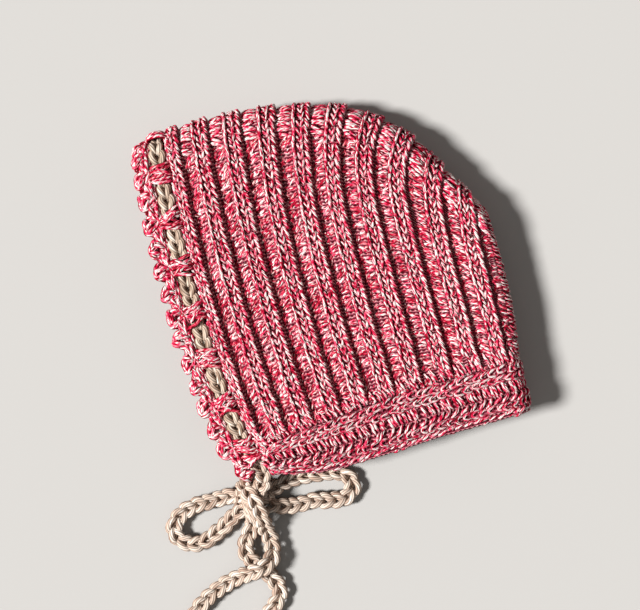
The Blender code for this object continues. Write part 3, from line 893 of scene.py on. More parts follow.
bandLong = {
    "braid": Strand(0.82, (
        (2.9, 0.235, -1.8), (0.6, 0.240, -0.8), (-1.6, 0.205, -0.5),
        (-1.7, 0.150, -0.5), (0.4, 0.125, -0.8), (3.0, 0.140, -1.8))),
    "lowRidge": Strand(0.80, (
        (3.2, 0.760, -1.5), (0.6, 0.752, -0.5), (-2.2, 0.720, -0.3),
        (-2.4, 0.672, -0.4), (0.4, 0.655, -0.6), (3.0, 0.668, -1.7))),
    "highRidge": Strand(0.84, (
        (5.2, 0.930, -1.6), (2.6, 0.918, -0.4), (-0.2, 0.880, -0.1),
        (-0.5, 0.822, -0.2), (2.2, 0.800, -0.3), (5.2, 0.822, -1.4))),
}
bandProfile = (               # share from hem to seam, mm high
    (-0.02, -2.9), (0.08, -2.4), (0.16, -2.3), (0.30, -2.5), (0.42, -3.0), (0.58, -3.0),
    (0.66, -2.5), (0.88, -2.2), (1.0, -3.0),
)


def bandStitches():
    reach = bandSurface.firsts[-1]
    count = round(2 * reach / bandLook["stitch"])
    pitch = 2 * reach / count
    return -reach + (np.arange(count) + 0.5) * pitch


def bendOnBand(rounds, strand, rings):
    back, share, height = np.array(strand.bends).T
    count = len(rounds)
    side = np.where(rounds < 0, -1, 1)[:, None]
    placed = uneven(rounds[:, None] - side * back * mm, count, 0.42 * mm, 0.22 * mm)
    placed = np.clip(placed, bandSurface.firsts[0], bandSurface.firsts[-1])
    shares = uneven(share, count, 0.013, 0.008)
    heights = uneven(height * mm, count, 0.15 * mm, 0.1 * mm)
    return strandsOn(bandSurface, placed, shares, heights, strand.radius * mm, rings)


def makeBandGround():
    shares, depths = np.array(bandProfile).T
    rounds = np.linspace(-1, 1, 90) * bandSurface.firsts[-1]

    def placePoints(column, row):
        return bandSurface.at(rounds[column], shares[row], depths[row] * mm)[0]

    piece = makeSheet("neckBandGround", len(rounds), len(shares), placePoints,
                      (shadedGroundYarn, insideYarn), bandLook["wall"],
                      (2 * neckBack / cm, bonnet["neckBandWidth"] / cm))
    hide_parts("neck_band")
    return piece


# where the band runs into the face edging; each bend: mm from the neck corner
neckCorner = (
    Strand(0.90, ((21.0, 17.6), (16.8, 15.7), (13.0, 13.4), (10.2, 10.6))),
    Strand(0.88, ((22.0, 14.6), (17.8, 12.8), (14.2, 10.8), (11.4, 8.0))),
    Strand(0.90, ((17.4, 19.6), (13.6, 17.2), (10.6, 14.2), (8.9, 10.6))),
    Strand(0.88, ((15.2, 12.0), (13.0, 9.4), (11.6, 6.4), (10.8, 3.2))),
    Strand(0.88, ((17.6, 11.0), (14.9, 8.6), (13.4, 5.6), (12.8, 2.2))),
    Strand(0.92, ((9.0, 14.4), (11.2, 12.6), (13.2, 10.2), (14.4, 7.4))),
    Strand(0.92, ((8.8, 9.8), (10.8, 8.4), (12.6, 6.2), (13.8, 3.6))),
    Strand(0.92, ((9.4, 6.2), (11.2, 5.0), (12.8, 3.2), (14.0, 0.8))),
    Strand(0.90, ((11.6, 1.6), (12.6, -0.4), (13.2, -2.6), (14.4, -4.6))),
    Strand(0.90, ((9.8, 3.0), (11.4, 1.8), (12.9, 0.0), (14.2, -2.2))),
    Strand(0.95, ((6.4, 12.6), (8.4, 10.4), (10.0, 7.6), (10.8, 4.8))),
    Strand(0.95, ((7.8, 16.2), (9.8, 14.4), (12.0, 12.4), (14.6, 11.0))),
    Strand(0.95, ((12.2, 15.2), (13.6, 12.8), (15.4, 10.6), (17.6, 9.4))),
    Strand(0.95, ((10.2, 17.8), (12.0, 15.6), (13.0, 12.8), (13.2, 9.6))),
)
# the crimson hollow behind the last picot; each bend: mm from the neck corner, and mm above the floor
neckCornerInside = (
    Strand(1.10, ((-3.4, 4.0, 17.5), (-1.6, 1.4, 18.6), (0.6, -1.4, 18.4), (3.0, -4.0, 16.4))),
    Strand(1.10, ((-0.6, 5.4, 17.0), (0.8, 2.4, 18.2), (2.4, -0.6, 17.8), (4.0, -3.4, 15.8))),
    Strand(1.10, ((-4.6, 0.6, 16.0), (-2.8, -1.6, 17.4), (-0.6, -3.8, 17.2), (1.8, -5.6, 15.4))),
    Strand(1.10, ((1.8, 4.6, 15.4), (2.6, 1.8, 16.6), (3.8, -0.8, 16.2), (4.6, -3.0, 14.6))),
    Strand(1.10, ((-3.6, -1.8, 14.4), (-1.2, 0.2, 15.8), (1.2, 2.0, 15.9), (3.6, 3.8, 14.6))),
)


def strandRadii(strands):
    return np.array([strand.radius for strand in strands]) * mm


def upward(centres, side=1):
    return np.broadcast_to([0.0, 0.0, side], centres.shape) * 1.0


def makeNeckCorner():
    places = np.array([strand.bends for strand in neckCorner]) * mm
    arch = np.array([-0.9, 0.1, 0.1, -0.9])
    bundles = []
    for side in (1, -1):
        for sink in (1.1, 2.6):
            moved = places + dice.normal(0, 0.25 * mm, places.shape)
            depth = uneven((arch - sink) * mm, len(places), 0.3 * mm, 0.1 * mm)
            controls = np.dstack([moved, halfHeight + side * (halfHeight + depth)])
            centres = smoothThrough(controls, ringShares(9))
            bundles.append((centres, upward(centres, side), strandRadii(neckCorner)))
    inside = smoothThrough(np.array([strand.bends for strand in neckCornerInside]) * mm, ringShares(9))
    return bundles + [(inside, upward(inside), strandRadii(neckCornerInside))]


neckBandGround = makeBandGround()
bandRounds = bandStitches()
neckBandStitches = makeStrands(
    "neckBandStitches",
    [bendOnBand(bandRounds, strand, 9) for strand in bandShort.values()] + makeSeamRow() + makeNeckCorner(),
    heatherYarn)
neckBandBraids = makeStrands(
    "neckBandBraids", [bendOnBand(bandRounds, strand, 13) for strand in bandLong.values()],
    heatherYarn)
print("the neck band is made")

# The face edging has stitches over and under the cord, and picots outside it.
edgeLook = {
    "overLength": 9.5 * mm,
    "foldLength": 16 * mm,
    "lastLength": 14 * mm,
    "lastShift": 2.2 * mm,
    "overSpacing": 1.7 * mm,
    "overSlopes": (-0.30, 0.0, 0.15, 0.42),
    "overLifts": (-0.25, 0.45),            # mm, by turns
    "overShaded": 0.5,                       # the share of these strands that take the valleys' darker copy of the yarn, as painted shade
    "slanted": 3,                          # strands that slant across each group
    "slants": (1.6, 3.4),
    "slantedRadius": 0.95 * mm,
    "railStitch": 4.1 * mm,
    "railRadius": 0.9 * mm,
    "underRadius": 0.8 * mm,
    "picotMiddle": 3.9,                    # mm outside the edging's own half width
    "picotSize": (0.92, 1.08),
    "cornerTurn": 3.0,                     # mm that each layer's last picot turns in under the neck corner
    "joinRadius": 1.08 * mm,
}
overStrand = Strand(1.02, (   # each bend: mm forward of the cord, mm high
    (5.2, -3.8), (3.9, -1.7), (0.8, -0.95), (-2.4, -0.95), (-4.6, -1.8), (-6.2, -3.4)))
# each bend: share of its lean, mm forward of the cord, mm high
slantedStrand = ((-1.1, 3.6, -2.4), (-0.6, 2.2, -0.7), (0.0, 0.0, -0.2), (0.6, -2.2, -0.7), (1.1, -3.6, -2.4))
rails = (                     # mm forward of the cord, mm high, and how far each stitch leans
    (-6.2, -2.2, 0.5), (-4.9, -3.5, -0.4), (-5.6, -5.0, 0.3),
    (4.8, -3.8, 0.4), (6.0, -3.2, -0.5), (7.2, -3.8, 0.5), (6.0, -5.2, 0.4),
)
picotJoins = ((0.2, -2.7, 0.5), (1.9, -2.9, -0.6), (1.2, -4.6, 0.3), (3.2, -4.0, 0.5))    # in the same way
# degrees and mm, from the picot's middle
PicotStrand = namedtuple("PicotStrand", "heading distance tilt length height radius")
picotStrands = (
    PicotStrand(-112, 3.3, 14, 5.6, -3.6, 1.35),
    PicotStrand(-58, 3.4, -16, 5.0, -3.1, 1.30),
    PicotStrand(-8, 3.1, 18, 5.2, -3.5, 1.35),
    PicotStrand(48, 3.3, -14, 5.2, -3.0, 1.30),
    PicotStrand(104, 3.4, 18, 5.4, -3.4, 1.35),
    PicotStrand(-70, 1.7, -38, 5.4, -2.3, 1.20),
    PicotStrand(22, 1.3, 34, 5.4, -2.0, 1.20),
    PicotStrand(120, 2.0, -30, 5.4, -2.4, 1.20),
    PicotStrand(200, 2.8, 55, 6.2, -3.0, 1.20),
    PicotStrand(20, 0.6, 0, 5.5, -4.4, 1.45),
    PicotStrand(200, 1.6, 80, 5.5, -4.8, 1.40),
    PicotStrand(-60, 2.6, 0, 6.0, -5.8, 1.25),
    PicotStrand(5, 2.4, 0, 6.0, -5.9, 1.25),
    PicotStrand(70, 2.6, 0, 6.0, -5.8, 1.25),
)


def overBars():
    # Where stitches cross over the cord, as middles and lengths from the fold, on both layers.
    bars = [(0.0, edgeLook["foldLength"])]
    for count in range(1, bonnet["picotsASide"] - 1):
        if count % 2 == 0:
            middle = picotPitch * (count + 0.5)
            length = edgeLook["overLength"]
            if count == bonnet["picotsASide"] - 2:
                middle, length = middle + edgeLook["lastShift"], edgeLook["lastLength"]
            bars += [(middle, length), (-middle, length)]
    return bars


def makeEyeletStrands():
    bundles = []
    across, height = np.array(overStrand.bends).T
    slantAlong, slantAcross, slantHeight = np.array(slantedStrand).T
    few = edgeLook["slanted"]
    for middle, length in overBars():
        count = round(length / edgeLook["overSpacing"])
        alongs = middle + (np.arange(count) - (count - 1) / 2) * length / count
        slopes = dice.choice(edgeLook["overSlopes"], count)[:, None]
        towardsCrown = -np.sign(middle if middle else 1)
        placed = uneven(alongs[:, None] - towardsCrown * slopes * across * mm, count, 0.3 * mm, 0.3 * mm)
        forwards = uneven(across * mm, count, 0.3 * mm, 0.15 * mm)
        lift = np.take(edgeLook["overLifts"], np.arange(count) % 2)[:, None]
        heights = uneven((height + lift) * mm, count, 0.12 * mm, 0.08 * mm)
        lies = dice.uniform(size=count) < edgeLook["overShaded"]
        bundles.append((*strandsOn(edgeSurface, placed, forwards, heights, overStrand.radius * mm, 11), lies))
        leans = dice.choice([-1, 1], few)[:, None] * dice.uniform(*edgeLook["slants"], (few, 1))
        starts = middle + dice.uniform(-0.22, 0.22, (few, 1)) * length
        placed = uneven(starts + leans * slantAlong * mm, few, 0, 0.2 * mm)
        forwards = uneven(slantAcross * mm, few, 0.8 * mm, 0.1 * mm)
        heights = uneven(slantHeight * mm, few, 0.2 * mm, 0.05 * mm)
        bundles.append(strandsOn(edgeSurface, placed, forwards, heights, edgeLook["slantedRadius"], 11))
    return makeStrands("eyeletStitches", bundles, heatherYarn, shadedMaterial=shadedValleyYarn)


def makeRails():
    bundles = []
    reach = picotPitch * (bonnet["picotsASide"] - 1.1)
    count = round(2 * reach / edgeLook["railStitch"])
    alongs = -reach + (np.arange(count) + 0.5) * 2 * reach / count
    steps = np.array([-3.2, -1.2, 1.2, 3.2])
    dive = np.array([-1.0, 0, 0, -1.0])
    for forward, height, lean in rails:
        placed = uneven(alongs[:, None] + steps * mm, count, 0.3 * mm, 0.1 * mm)
        forwards = uneven((forward + lean * steps / 3) * mm, count, 0.15 * mm, 0.1 * mm)
        heights = uneven((height + dive) * mm, count, 0.1 * mm, 0.05 * mm)
        bundles.append(strandsOn(edgeSurface, placed, forwards, heights, edgeLook["railRadius"]))
    # three strands under the cord at each stitch that passes under it
    across = np.array([[5.4, 2.6, -2.6, -5.4]]) * mm
    under = np.array([[-3.6, -8.6, -8.6, -3.6]]) * mm
    for number in range(1, bonnet["picotsASide"] - 1, 2):
        for side in (1, -1):
            middle = side * picotPitch * (number + 0.5)
            for step in (-1.4, 0, 1.4):
                placed = uneven(np.full(4, middle + step * mm), 1, 0.2 * mm, 0.1 * mm)
                bundles.append(strandsOn(edgeSurface, placed, across, under, edgeLook["underRadius"]))
    return makeStrands("eyeletRails", bundles, heatherYarn)


def makePicots():
    bundles = []
    number = bonnet["picotsASide"]
    middles = picotPitch * (np.arange(2 * number) - number + 0.5)
    start = (bonnet["edgeHalfWidth"] + bonnet["clearance"]) / mm
    count = len(middles)
    turns = dice.normal(0, 0.22, count)
    sizes = dice.uniform(*edgeLook["picotSize"], count)[:, None]
    shifts = dice.normal(0, 0.5, count)[:, None]
    towardsNeck = np.sign(middles)[:, None]
    cornerTurn = np.where(np.abs(middles) > picotPitch * (number - 1), edgeLook["cornerTurn"], 0.0)[:, None]
    shares = np.array([-0.5, -0.28, 0, 0.28, 0.5])
    for strand in picotStrands:
        heading = np.radians(strand.heading) + turns + dice.normal(0, 0.12, count)
        slant = heading + math.pi / 2 + np.radians(strand.tilt) + dice.normal(0, 0.18, count)
        heading, slant = heading[:, None], slant[:, None]
        outward = strand.distance * (1 - 0.9 * shares ** 2)
        forward = outward * np.cos(heading) + shares * strand.length * np.cos(slant)
        up = outward * np.sin(heading) + shares * strand.length * np.sin(slant)
        forwards = (start + edgeLook["picotMiddle"] + forward * sizes - cornerTurn) * mm
        placed = middles[:, None] - towardsNeck * (1.12 * up * sizes + shifts) * mm
        heights = uneven((strand.height - 4.2 * shares ** 2) * mm, count, 0.2 * mm, 0.08 * mm)
        bundles.append(strandsOn(edgeSurface, placed, forwards, heights, strand.radius * mm))
    joins = np.arange(-number + 1, number) * picotPitch
    count = len(joins)
    steps = np.array([-4.6, -2.2, 0, 2.2, 4.6])
    arch = np.array([-0.7, 0.1, 0.2, 0.1, -0.7])
    for forward, height, lean in picotJoins:
        placed = uneven(joins[:, None] + steps * mm, count, 0.4 * mm, 0.1 * mm)
        forwards = uneven((start + forward + lean * steps / 3) * mm, count, 0.25 * mm, 0.1 * mm)
        heights = uneven((height + arch) * mm, count, 0.15 * mm, 0.05 * mm)
        bundles.append(strandsOn(edgeSurface, placed, forwards, heights, edgeLook["joinRadius"]))
    return makeStrands("picotLoops", bundles, heatherYarn)


eyeletStitches = makeEyeletStrands()
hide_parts("eyelet_band")
eyeletRails = makeRails()
picotLoops = makePicots()
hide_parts("picot_edging")
print("the face edging is made")

cordSizes = {
    "diameter": 6 * mm,
    "stitch": 5.7 * mm,
    "knotRadius": 8 * mm,
    "depth": 4.5 * mm,        # the cord's middle below the edging's outer surface
    "rise": 0.9 * mm,         # how much it bulges between the stitches over it
    "narrowed": 0.15,         # the cord's share of its width that the stitches squeeze out
    "swell": 0.15,            # and the share that comes and goes between them
    "swellOver": 10 * mm,     # how far inside the edging the cord gets to this width
    "straightExit": 2 * mm,
    "taper": 0.6,
    "ringStep": 4 * mm,       # between the points that are written down for each free stretch
    "tailKnotTurns": 3.0,     # mm from a tail knot's middle to its strands' middles
    "tailKnotStrand": 1.4,    # mm, their radius
    "tailKnotSides": 8,
}
# each bend: share of a stitch along the cord, mm to the side, mm high
chainArm = Strand(1.66, (
    (-0.12, 0.35, -1.3), (0.14, 1.05, 0.35), (0.48, 2.10, 1.05),
    (0.86, 2.85, 0.85), (1.20, 2.25, 0.0), (1.42, 1.15, -1.2)))
chainBack = Strand(1.45, ((0.0, -1.6, -1.0), (0.3, -0.8, -1.4), (0.7, 0.8, -1.4), (1.0, 1.6, -1.0)))

knotCentre = np.array([0.0, -bowBelowNeck, cordSizes["knotRadius"] + bonnet["clearance"]])
KnotEnd = namedtuple("KnotEnd", "compass lift")    # degrees, seen from the knot's middle
knotEnds = {
    "upperLead": KnotEnd(50, 35),
    "lowerLead": KnotEnd(100, 5),
    "leftOut": KnotEnd(157, -15),
    "leftBack": KnotEnd(206, -15),
    "rightOut": KnotEnd(14, -15),
    "rightBack": KnotEnd(-35, -15),
    "leftTail": KnotEnd(-75, 25),
    "rightTail": KnotEnd(-105, -20),
}

# the cord's routes, in millimetres, each without its end on the knot
upperLeadRoute = ((7.9, 0.4, 19.7), (8.6, -3.9, 17.8), (7.1, -7.8, 15.3))
lowerLeadRoute = ((5.0, 3.0, 8.0), (2.2, -0.6, 9.2), (-1.0, -4.3, 9.5))
leftLoopRoute = (
    (-11.5, -11.2, 4.8), (-16.5, -11.1, 3.6), (-22.5, -11.3, 3.1), (-30.0, -11.5, 3.1), (-37.0, -13.5, 3.1),
    (-41.8, -17.2, 3.1), (-43.4, -22.2, 3.1), (-41.3, -27.0, 3.1), (-36.6, -29.9, 3.1), (-30.8, -30.5, 3.1),
    (-25.0, -28.7, 3.1), (-19.0, -25.7, 3.2), (-13.5, -22.3, 4.2),
)
rightLoopRoute = (
    (12.0, -12.5, 4.9), (17.0, -11.4, 3.7), (23.0, -11.0, 3.1), (30.0, -11.2, 3.1), (37.5, -12.0, 3.1),
    (43.0, -13.0, 3.1), (47.4, -15.0, 3.1), (50.2, -18.6, 3.1), (50.3, -22.6, 3.1), (47.6, -25.9, 3.1),
    (43.3, -27.2, 3.1), (36.5, -26.0, 3.1), (28.5, -24.3, 3.1), (21.5, -24.5, 3.2), (15.5, -23.6, 4.0),
    (11.0, -22.0, 5.2),
)
leftTailRoute = (
    (2.2, -26.8, 11.0), (2.2, -31.3, 7.4), (2.8, -36.3, 4.7), (3.0, -41.3, 4.5), (1.8, -45.7, 6.3),
    (-1.4, -49.1, 8.6), (-6.0, -50.8, 9.6), (-11.0, -51.2, 8.0), (-16.5, -52.0, 5.0), (-22.5, -53.3, 3.3),
    (-29.0, -55.3, 3.1), (-35.5, -58.5, 3.1), (-41.0, -62.2, 3.1), (-45.0, -65.8, 3.1),
)
rightTailRoute = (
    (-3.2, -27.0, 4.1), (-6.0, -31.0, 3.2), (-9.0, -35.0, 3.1), (-10.8, -39.5, 3.1), (-10.2, -44.5, 3.1),
    (-7.0, -49.0, 3.1), (-3.7, -53.5, 3.1), (-0.8, -58.0, 3.1), (0.9, -62.5, 3.1), (0.0, -67.0, 3.1),
    (-3.5, -70.8, 3.1), (-7.5, -74.2, 3.1),
)


def knotExit(end):
    compass = math.radians(knotEnds[end].compass)
    lift = math.radians(knotEnds[end].lift)
    outward = np.array([math.cos(compass) * math.cos(lift), math.sin(compass) * math.cos(lift), math.sin(lift)])
    meeting = knotCentre + outward * (cordSizes["knotRadius"] + bonnet["clearance"])
    return meeting, meeting + outward * cordSizes["straightExit"]


def smoothRoute(points):
    # A dense smooth curve through the route's own points.
    points = np.array(points, dtype=float)
    padded = np.vstack([points[0] * 2 - points[1], points, points[-1] * 2 - points[-2]])
    dense = [points[0]]
    for a, b, c, d in zip(padded, padded[1:], padded[2:], padded[3:]):
        square = 2 * a - 5 * b + 4 * c - d
        cube = 3 * b - a - 3 * c + d
        for t in np.arange(1, 13) / 12:
            dense.append(b + ((c - a) * t + square * t ** 2 + cube * t ** 3) / 2)
    return np.array(dense)


class Route:
    # A line in space with an upward side, read by distance along it.
    def __init__(self, points, ups=None):
        self.points = np.array(points)
        steps = np.linalg.norm(np.diff(self.points, axis=0), axis=1)
        self.marks = np.concatenate([[0.0], np.cumsum(steps)])
        self.length = self.marks[-1]
        tangents = unit(np.gradient(self.points, axis=0))
        ups = np.tile([0.0, 0.0, 1.0], (len(self.points), 1)) if ups is None else ups
        self.ups = unit(ups - tangents * np.sum(ups * tangents, axis=1, keepdims=True))
        self.sides = np.cross(tangents, self.ups)

    def read(self, values, marks):
        return np.stack([np.interp(marks, self.marks, values[:, axis]) for axis in range(3)], axis=-1)

    def at(self, marks, sideways, height):
        up = unit(self.read(self.ups, marks))
        side = unit(self.read(self.sides, marks))
        return self.read(self.points, marks) + side * sideways[..., None] + up * height[..., None], up

    def rings(self):
        marks = np.linspace(0, self.length, max(int(self.length / cordSizes["ringStep"]), 8) + 1)
        return self.read(self.points, marks)


def chainBundles(route, swell=None, lies=None):
    # swell gives the cord's width at each distance along it, and lies says which stitches take the cord's
    # darker copy, as painted shade
    pitch = route.length / max(round(route.length / cordSizes["stitch"]), 3)
    starts = np.arange(-1, round(route.length / pitch)) * pitch
    count = len(starts)
    bundles = []
    for strand, sign in ((chainArm, 1), (chainArm, -1), (chainBack, 1)):
        along, side, height = np.array(strand.bends).T
        marks = uneven(starts[:, None] + along * pitch, count, 0.15 * mm, 0.1 * mm)
        sideways = uneven(sign * side * mm, count, 0.12 * mm, 0.1 * mm)
        heights = uneven(height * mm, count, 0.08 * mm, 0.08 * mm)
        marks = np.clip(marks, bonnet["clearance"], route.length - bonnet["clearance"])
        if swell:
            sideways = sideways * swell(marks)
            heights = heights * swell(marks)
        bundle = strandsOn(route, marks, sideways, heights, strand.radius * mm, 11)
        bundles.append((*bundle, lies(starts) if lies else False))
    return bundles


def makeChain(name, node, route):
    piece = makeStrands(name, chainBundles(route), cordYarn, taper=cordSizes["taper"])
    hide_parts(node)
    return piece


def inFrame(points):
    return [tuple(point) for point in np.array(points) + cornerShift]


def cordBulge(along):
    # 1 in the middle of each gap between the stitches over the cord, and -1 under them
    along = np.minimum(np.abs(along), picotPitch * (bonnet["picotsASide"] - 1.5))
    foldEnd = edgeLook["foldLength"] / 2
    firstStitch = 2.5 * picotPitch
    share = np.clip((along - foldEnd) / (firstStitch - foldEnd), 0, 1)
    nearFold = -np.cos(math.pi * share * 2)
    return np.where(along < firstStitch, nearFold, -np.cos(math.pi * (along / picotPitch - 0.5)))


def makeDrawstring():
    last = max(middle + length / 2 for middle, length in overBars())
    marks = np.linspace(last, -last, 240)
    heights = cordBulge(marks) * cordSizes["rise"] - cordSizes["depth"]
    held, normals = edgeSurface.at(marks, np.zeros(len(marks)), heights)
    upperMeeting, upperOut = knotExit("upperLead")
    lowerMeeting, lowerOut = knotExit("lowerLead")
    # both leads run on into the knot
    upperEnd = knotCentre + (upperMeeting - knotCentre) * 0.25
    lowerEnd = knotCentre + (lowerMeeting - knotCentre) * 0.25
    upperRoute = np.array(upperLeadRoute[::-1]) * mm
    lowerRoute = np.array(lowerLeadRoute) * mm
    upperLead = smoothRoute([upperEnd, upperMeeting, upperOut, *upperRoute, held[0]])[:-1]
    lowerLead = smoothRoute([held[-1], *lowerRoute, lowerOut, lowerMeeting, lowerEnd])[1:]
    ups = np.vstack([upward(upperLead), normals, upward(lowerLead, -1)])
    route = Route(np.vstack([upperLead, held, lowerLead]), ups)
    leadLength = Route(upperLead).length
    heldLength = Route(held).length

    def swell(marks):
        inEdging = np.clip((marks - leadLength) / cordSizes["swellOver"], 0, 1)
        bulge = cordSizes["swell"] * cordBulge(last - (marks - leadLength))
        return 1 - inEdging * (cordSizes["narrowed"] - bulge)

    def inEyelets(marks):
        return (marks > leadLength) & (marks < leadLength + heldLength)

    piece = makeStrands("drawstringChain", chainBundles(route, swell, inEyelets), cordYarn,
                        taper=cordSizes["taper"], shadedMaterial=shadedCordYarn)
    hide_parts("drawstring")
    return piece


def knotToKnot(start, route, end):
    startMeeting, startOut = knotExit(start)
    endMeeting, endOut = knotExit(end)
    middle = smoothRoute([startOut, *np.array(route) * mm, endOut])
    return Route(np.vstack([startMeeting, middle, endMeeting]))


def knotToTail(start, route):
    meeting, out = knotExit(start)
    return Route(np.vstack([meeting, smoothRoute([out, *np.array(route) * mm])]))


drawstringChain = makeDrawstring()
loopLeft = knotToKnot("leftOut", leftLoopRoute, "leftBack")
loopRight = knotToKnot("rightOut", rightLoopRoute, "rightBack")
tailLeft = knotToTail("leftTail", leftTailRoute)
tailRight = knotToTail("rightTail", rightTailRoute)
bowLoopLeft = makeChain("bowLoopLeft", "bow_loop_left", loopLeft)
bowLoopRight = makeChain("bowLoopRight", "bow_loop_right", loopRight)
tieTailLeft = makeChain("tieTailLeft", "tie_tail_left", tailLeft)
tieTailRight = makeChain("tieTailRight", "tie_tail_right", tailRight)

# each bend: mm from the knot's middle, to the right, up the picture and high
bowKnotStrands = (
    Strand(1.75, (
        (-8.6, 2.2, -2.2), (-5.4, 2.3, 0.6), (-1.8, 1.6, 2.0),
        (2.2, 1.2, 1.6), (5.2, 2.0, 0.2), (7.8, 3.2, -2.0))),
    Strand(1.75, (
        (-8.4, -1.4, -2.4), (-5.4, -0.6, 0.8), (-2.0, 0.0, 2.2),
        (2.0, 0.6, 1.6), (5.2, 0.6, 0.0), (8.0, -0.6, -2.0))),
    Strand(1.70, (
        (-8.0, -4.4, -3.0), (-5.6, -3.2, -0.2), (-2.8, -1.8, 1.6),
        (1.0, -1.0, 1.8), (4.8, -0.6, -0.6), (7.8, -2.4, -2.6))),
    Strand(1.70, (
        (-7.6, 4.2, -3.4), (-5.2, 4.2, -0.8), (-2.0, 4.0, 0.8),
        (1.6, 3.8, 1.4), (4.8, 3.6, -0.6), (7.0, 4.4, -3.2))),
    Strand(1.60, (
        (-6.6, -3.4, -6.0), (-3.6, -3.6, -4.6), (0.0, -3.6, -3.4),
        (3.2, -3.4, -3.8), (5.4, -2.6, -5.0), (6.8, -1.6, -6.0))),
    Strand(1.60, (
        (-6.2, 4.6, -5.8), (-3.4, 3.0, -4.6), (0.0, 1.0, -4.0),
        (2.8, 0.6, -4.2), (5.2, 1.6, -4.8), (6.6, 3.4, -5.8))),
    Strand(1.45, (
        (-5.4, 6.2, -1.2), (-4.6, 4.6, 1.8), (-3.4, 1.8, 4.0),
        (-2.6, -2.6, 4.9), (-1.8, -6.8, 4.2), (-0.8, -12.2, 1.8))),
    Strand(1.45, (
        (-6.6, 4.4, -1.6), (-5.6, 2.4, 1.0), (-4.6, -0.8, 2.6),
        (-3.8, -4.4, 3.2), (-3.0, -8.0, 2.4), (-2.2, -13.0, 0.2))),
    Strand(1.40, (
        (-2.4, 0.6, 4.6), (-1.4, -2.2, 5.6), (-0.4, -5.6, 5.8),
        (0.4, -9.2, 4.8), (1.0, -12.4, 3.2), (1.4, -16.0, 0.2))),
    Strand(1.35, (
        (-0.8, -2.8, 5.2), (0.4, -5.0, 6.2), (1.8, -7.4, 6.3),
        (3.0, -9.4, 5.6), (3.9, -11.4, 4.4), (4.4, -13.6, 2.4))),
)
# the cord's turn over the front of the knot, in the same way
bowWrapRoute = (
    (-5.2, 7.6, -2.2), (-4.4, 6.2, 1.6), (-2.6, 4.2, 4.6), (-0.4, 1.6, 6.2),
    (1.4, -1.6, 6.6), (2.8, -5.0, 5.8), (4.0, -8.4, 4.4), (4.9, -11.8, 2.6),
)


def ballOfStrands(centre, strands):
    controls = np.array([strand.bends for strand in strands]) * mm + centre
    centres = smoothThrough(controls, ringShares(11))
    return centres, unit(centres - centre + 1e-6), strandRadii(strands)


def turned(points, angle):
    # Points as (right, up, high), turned about the upright axis by an angle in radians.
    right, up, high = np.moveaxis(np.array(points, dtype=float), -1, 0)
    across = right * math.cos(angle) - up * math.sin(angle)
    return np.stack([across, right * math.sin(angle) + up * math.cos(angle), high], axis=-1)


def wrapped(radius, thickness):
    # Five turns of yarn round a small knot, each on its own tilted circle.
    strands = []
    steps = np.linspace(0, 2 * math.pi, 9)
    for tilt, heading in ((20, 0), (65, 40), (110, 100), (50, 150), (95, 210)):
        lean = math.radians(tilt)
        across = np.sin(steps)
        circle = np.stack([np.cos(steps), across * math.cos(lean), across * math.sin(lean)], axis=-1)
        strands.append(Strand(thickness, turned(circle, math.radians(heading)) * radius))
    return strands


def makeKnots():
    # the strands are given along the picture, and are turned to lie as the camera sees them
    pictured = math.radians(view["turn"])
    strands = [Strand(strand.radius, turned(strand.bends, pictured)) for strand in bowKnotStrands]
    wrap = Route(smoothRoute(turned(bowWrapRoute, pictured) * mm + knotCentre))
    bundles = [ballOfStrands(knotCentre, strands), *chainBundles(wrap)]
    made = [makeStrands("bowKnot", bundles, cordYarn)]
    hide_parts("bow_knot")
    for name, node in (("tailKnotLeft", "tail_knot_left"), ("tailKnotRight", "tail_knot_right")):
        centre = np.mean(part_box(node), axis=0) - cornerShift
        ball = ballOfStrands(centre, wrapped(cordSizes["tailKnotTurns"], cordSizes["tailKnotStrand"]))
        knot = makeStrands(name, [ball], cordYarn, cordSizes["tailKnotSides"])
        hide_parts(node)
        made.append(knot)
    return made


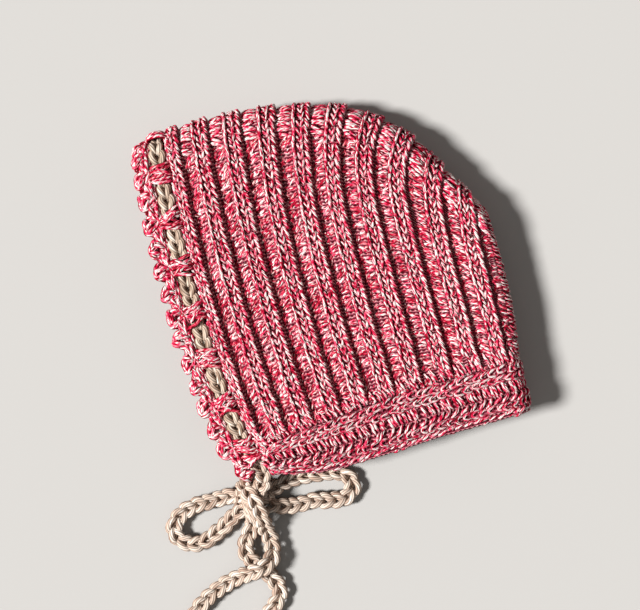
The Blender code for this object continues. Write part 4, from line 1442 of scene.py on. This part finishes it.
bowKnot, tailKnotLeft, tailKnotRight = makeKnots()
for piece, route, farEnd, along in (
    (bowLoopLeft, loopLeft, "object", []),
    (bowLoopRight, loopRight, "object", [bowKnot]),
    (tieTailLeft, tailLeft, "knot", [tailKnotLeft]),
    (tieTailRight, tailRight, "knot", [tailKnotRight]),
):
    path = inFrame(route.rings())
print("the cord is made")

2 * neckBack
0.9 * bonnet["neckBandWidth"] * 2 * neckBack

studio = {
    "floor": (0.44, 0.425, 0.405),
    "floorSize": 3,           # metres from its middle to each side
    "sky": 0.19,
    "skyColour": (1, 0.98, 0.95),
    "key": 6.5,
    "keyFrom": (-0.93, 0.10, 0.94),
    "keySoftness": 12,        # degrees
    "fill": 0.6,              # watts
    "fillFrom": (0.7, -0.5, 0.8),
    "fillSize": 0.9,
}


def makeFloor():
    shader = Shader("floorPaint")
    floor = bmesh.new()
    bmesh.ops.create_grid(floor, x_segments=1, y_segments=1, size=studio["floorSize"])
    mesh = bpy.data.meshes.new("floor")
    floor.to_mesh(mesh)
    floor.free()
    mesh.materials.append(shader.finish(Base_Color=(*studio["floor"], 1), Roughness=0.8))
    piece = bpy.data.objects.new("floor", mesh)
    scene.collection.objects.link(piece)
    piece.location.z = -0.1 * mm


def addLight(name, kind, strength, place, **settings):
    data = bpy.data.lights.new(name, kind)
    data.energy = strength
    for setting, value in settings.items():
        setattr(data, setting, value)
    light = bpy.data.objects.new(name, data)
    light.location = place
    light.rotation_euler = Vector(place).to_track_quat("Z", "Y").to_euler()
    scene.collection.objects.link(light)


makeFloor()
addLight("keyLight", "SUN", studio["key"], studio["keyFrom"], angle=math.radians(studio["keySoftness"]))
addLight("fillLight", "AREA", studio["fill"], studio["fillFrom"], size=studio["fillSize"])
world = bpy.data.worlds.new("studio")
world.use_nodes = True
world.node_tree.nodes["Background"].inputs["Color"].default_value = (*studio["skyColour"], 1)
world.node_tree.nodes["Background"].inputs["Strength"].default_value = studio["sky"]
scene.world = world
scene.view_settings.view_transform = "Standard"

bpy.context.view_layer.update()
shown = [piece for piece in scene.objects if piece.type == "MESH" and not piece.hide_render]
triangles = sum(len(piece.data.loops) - 2 * len(piece.data.polygons) for piece in shown)
print("done:", triangles, "triangles before modifiers")
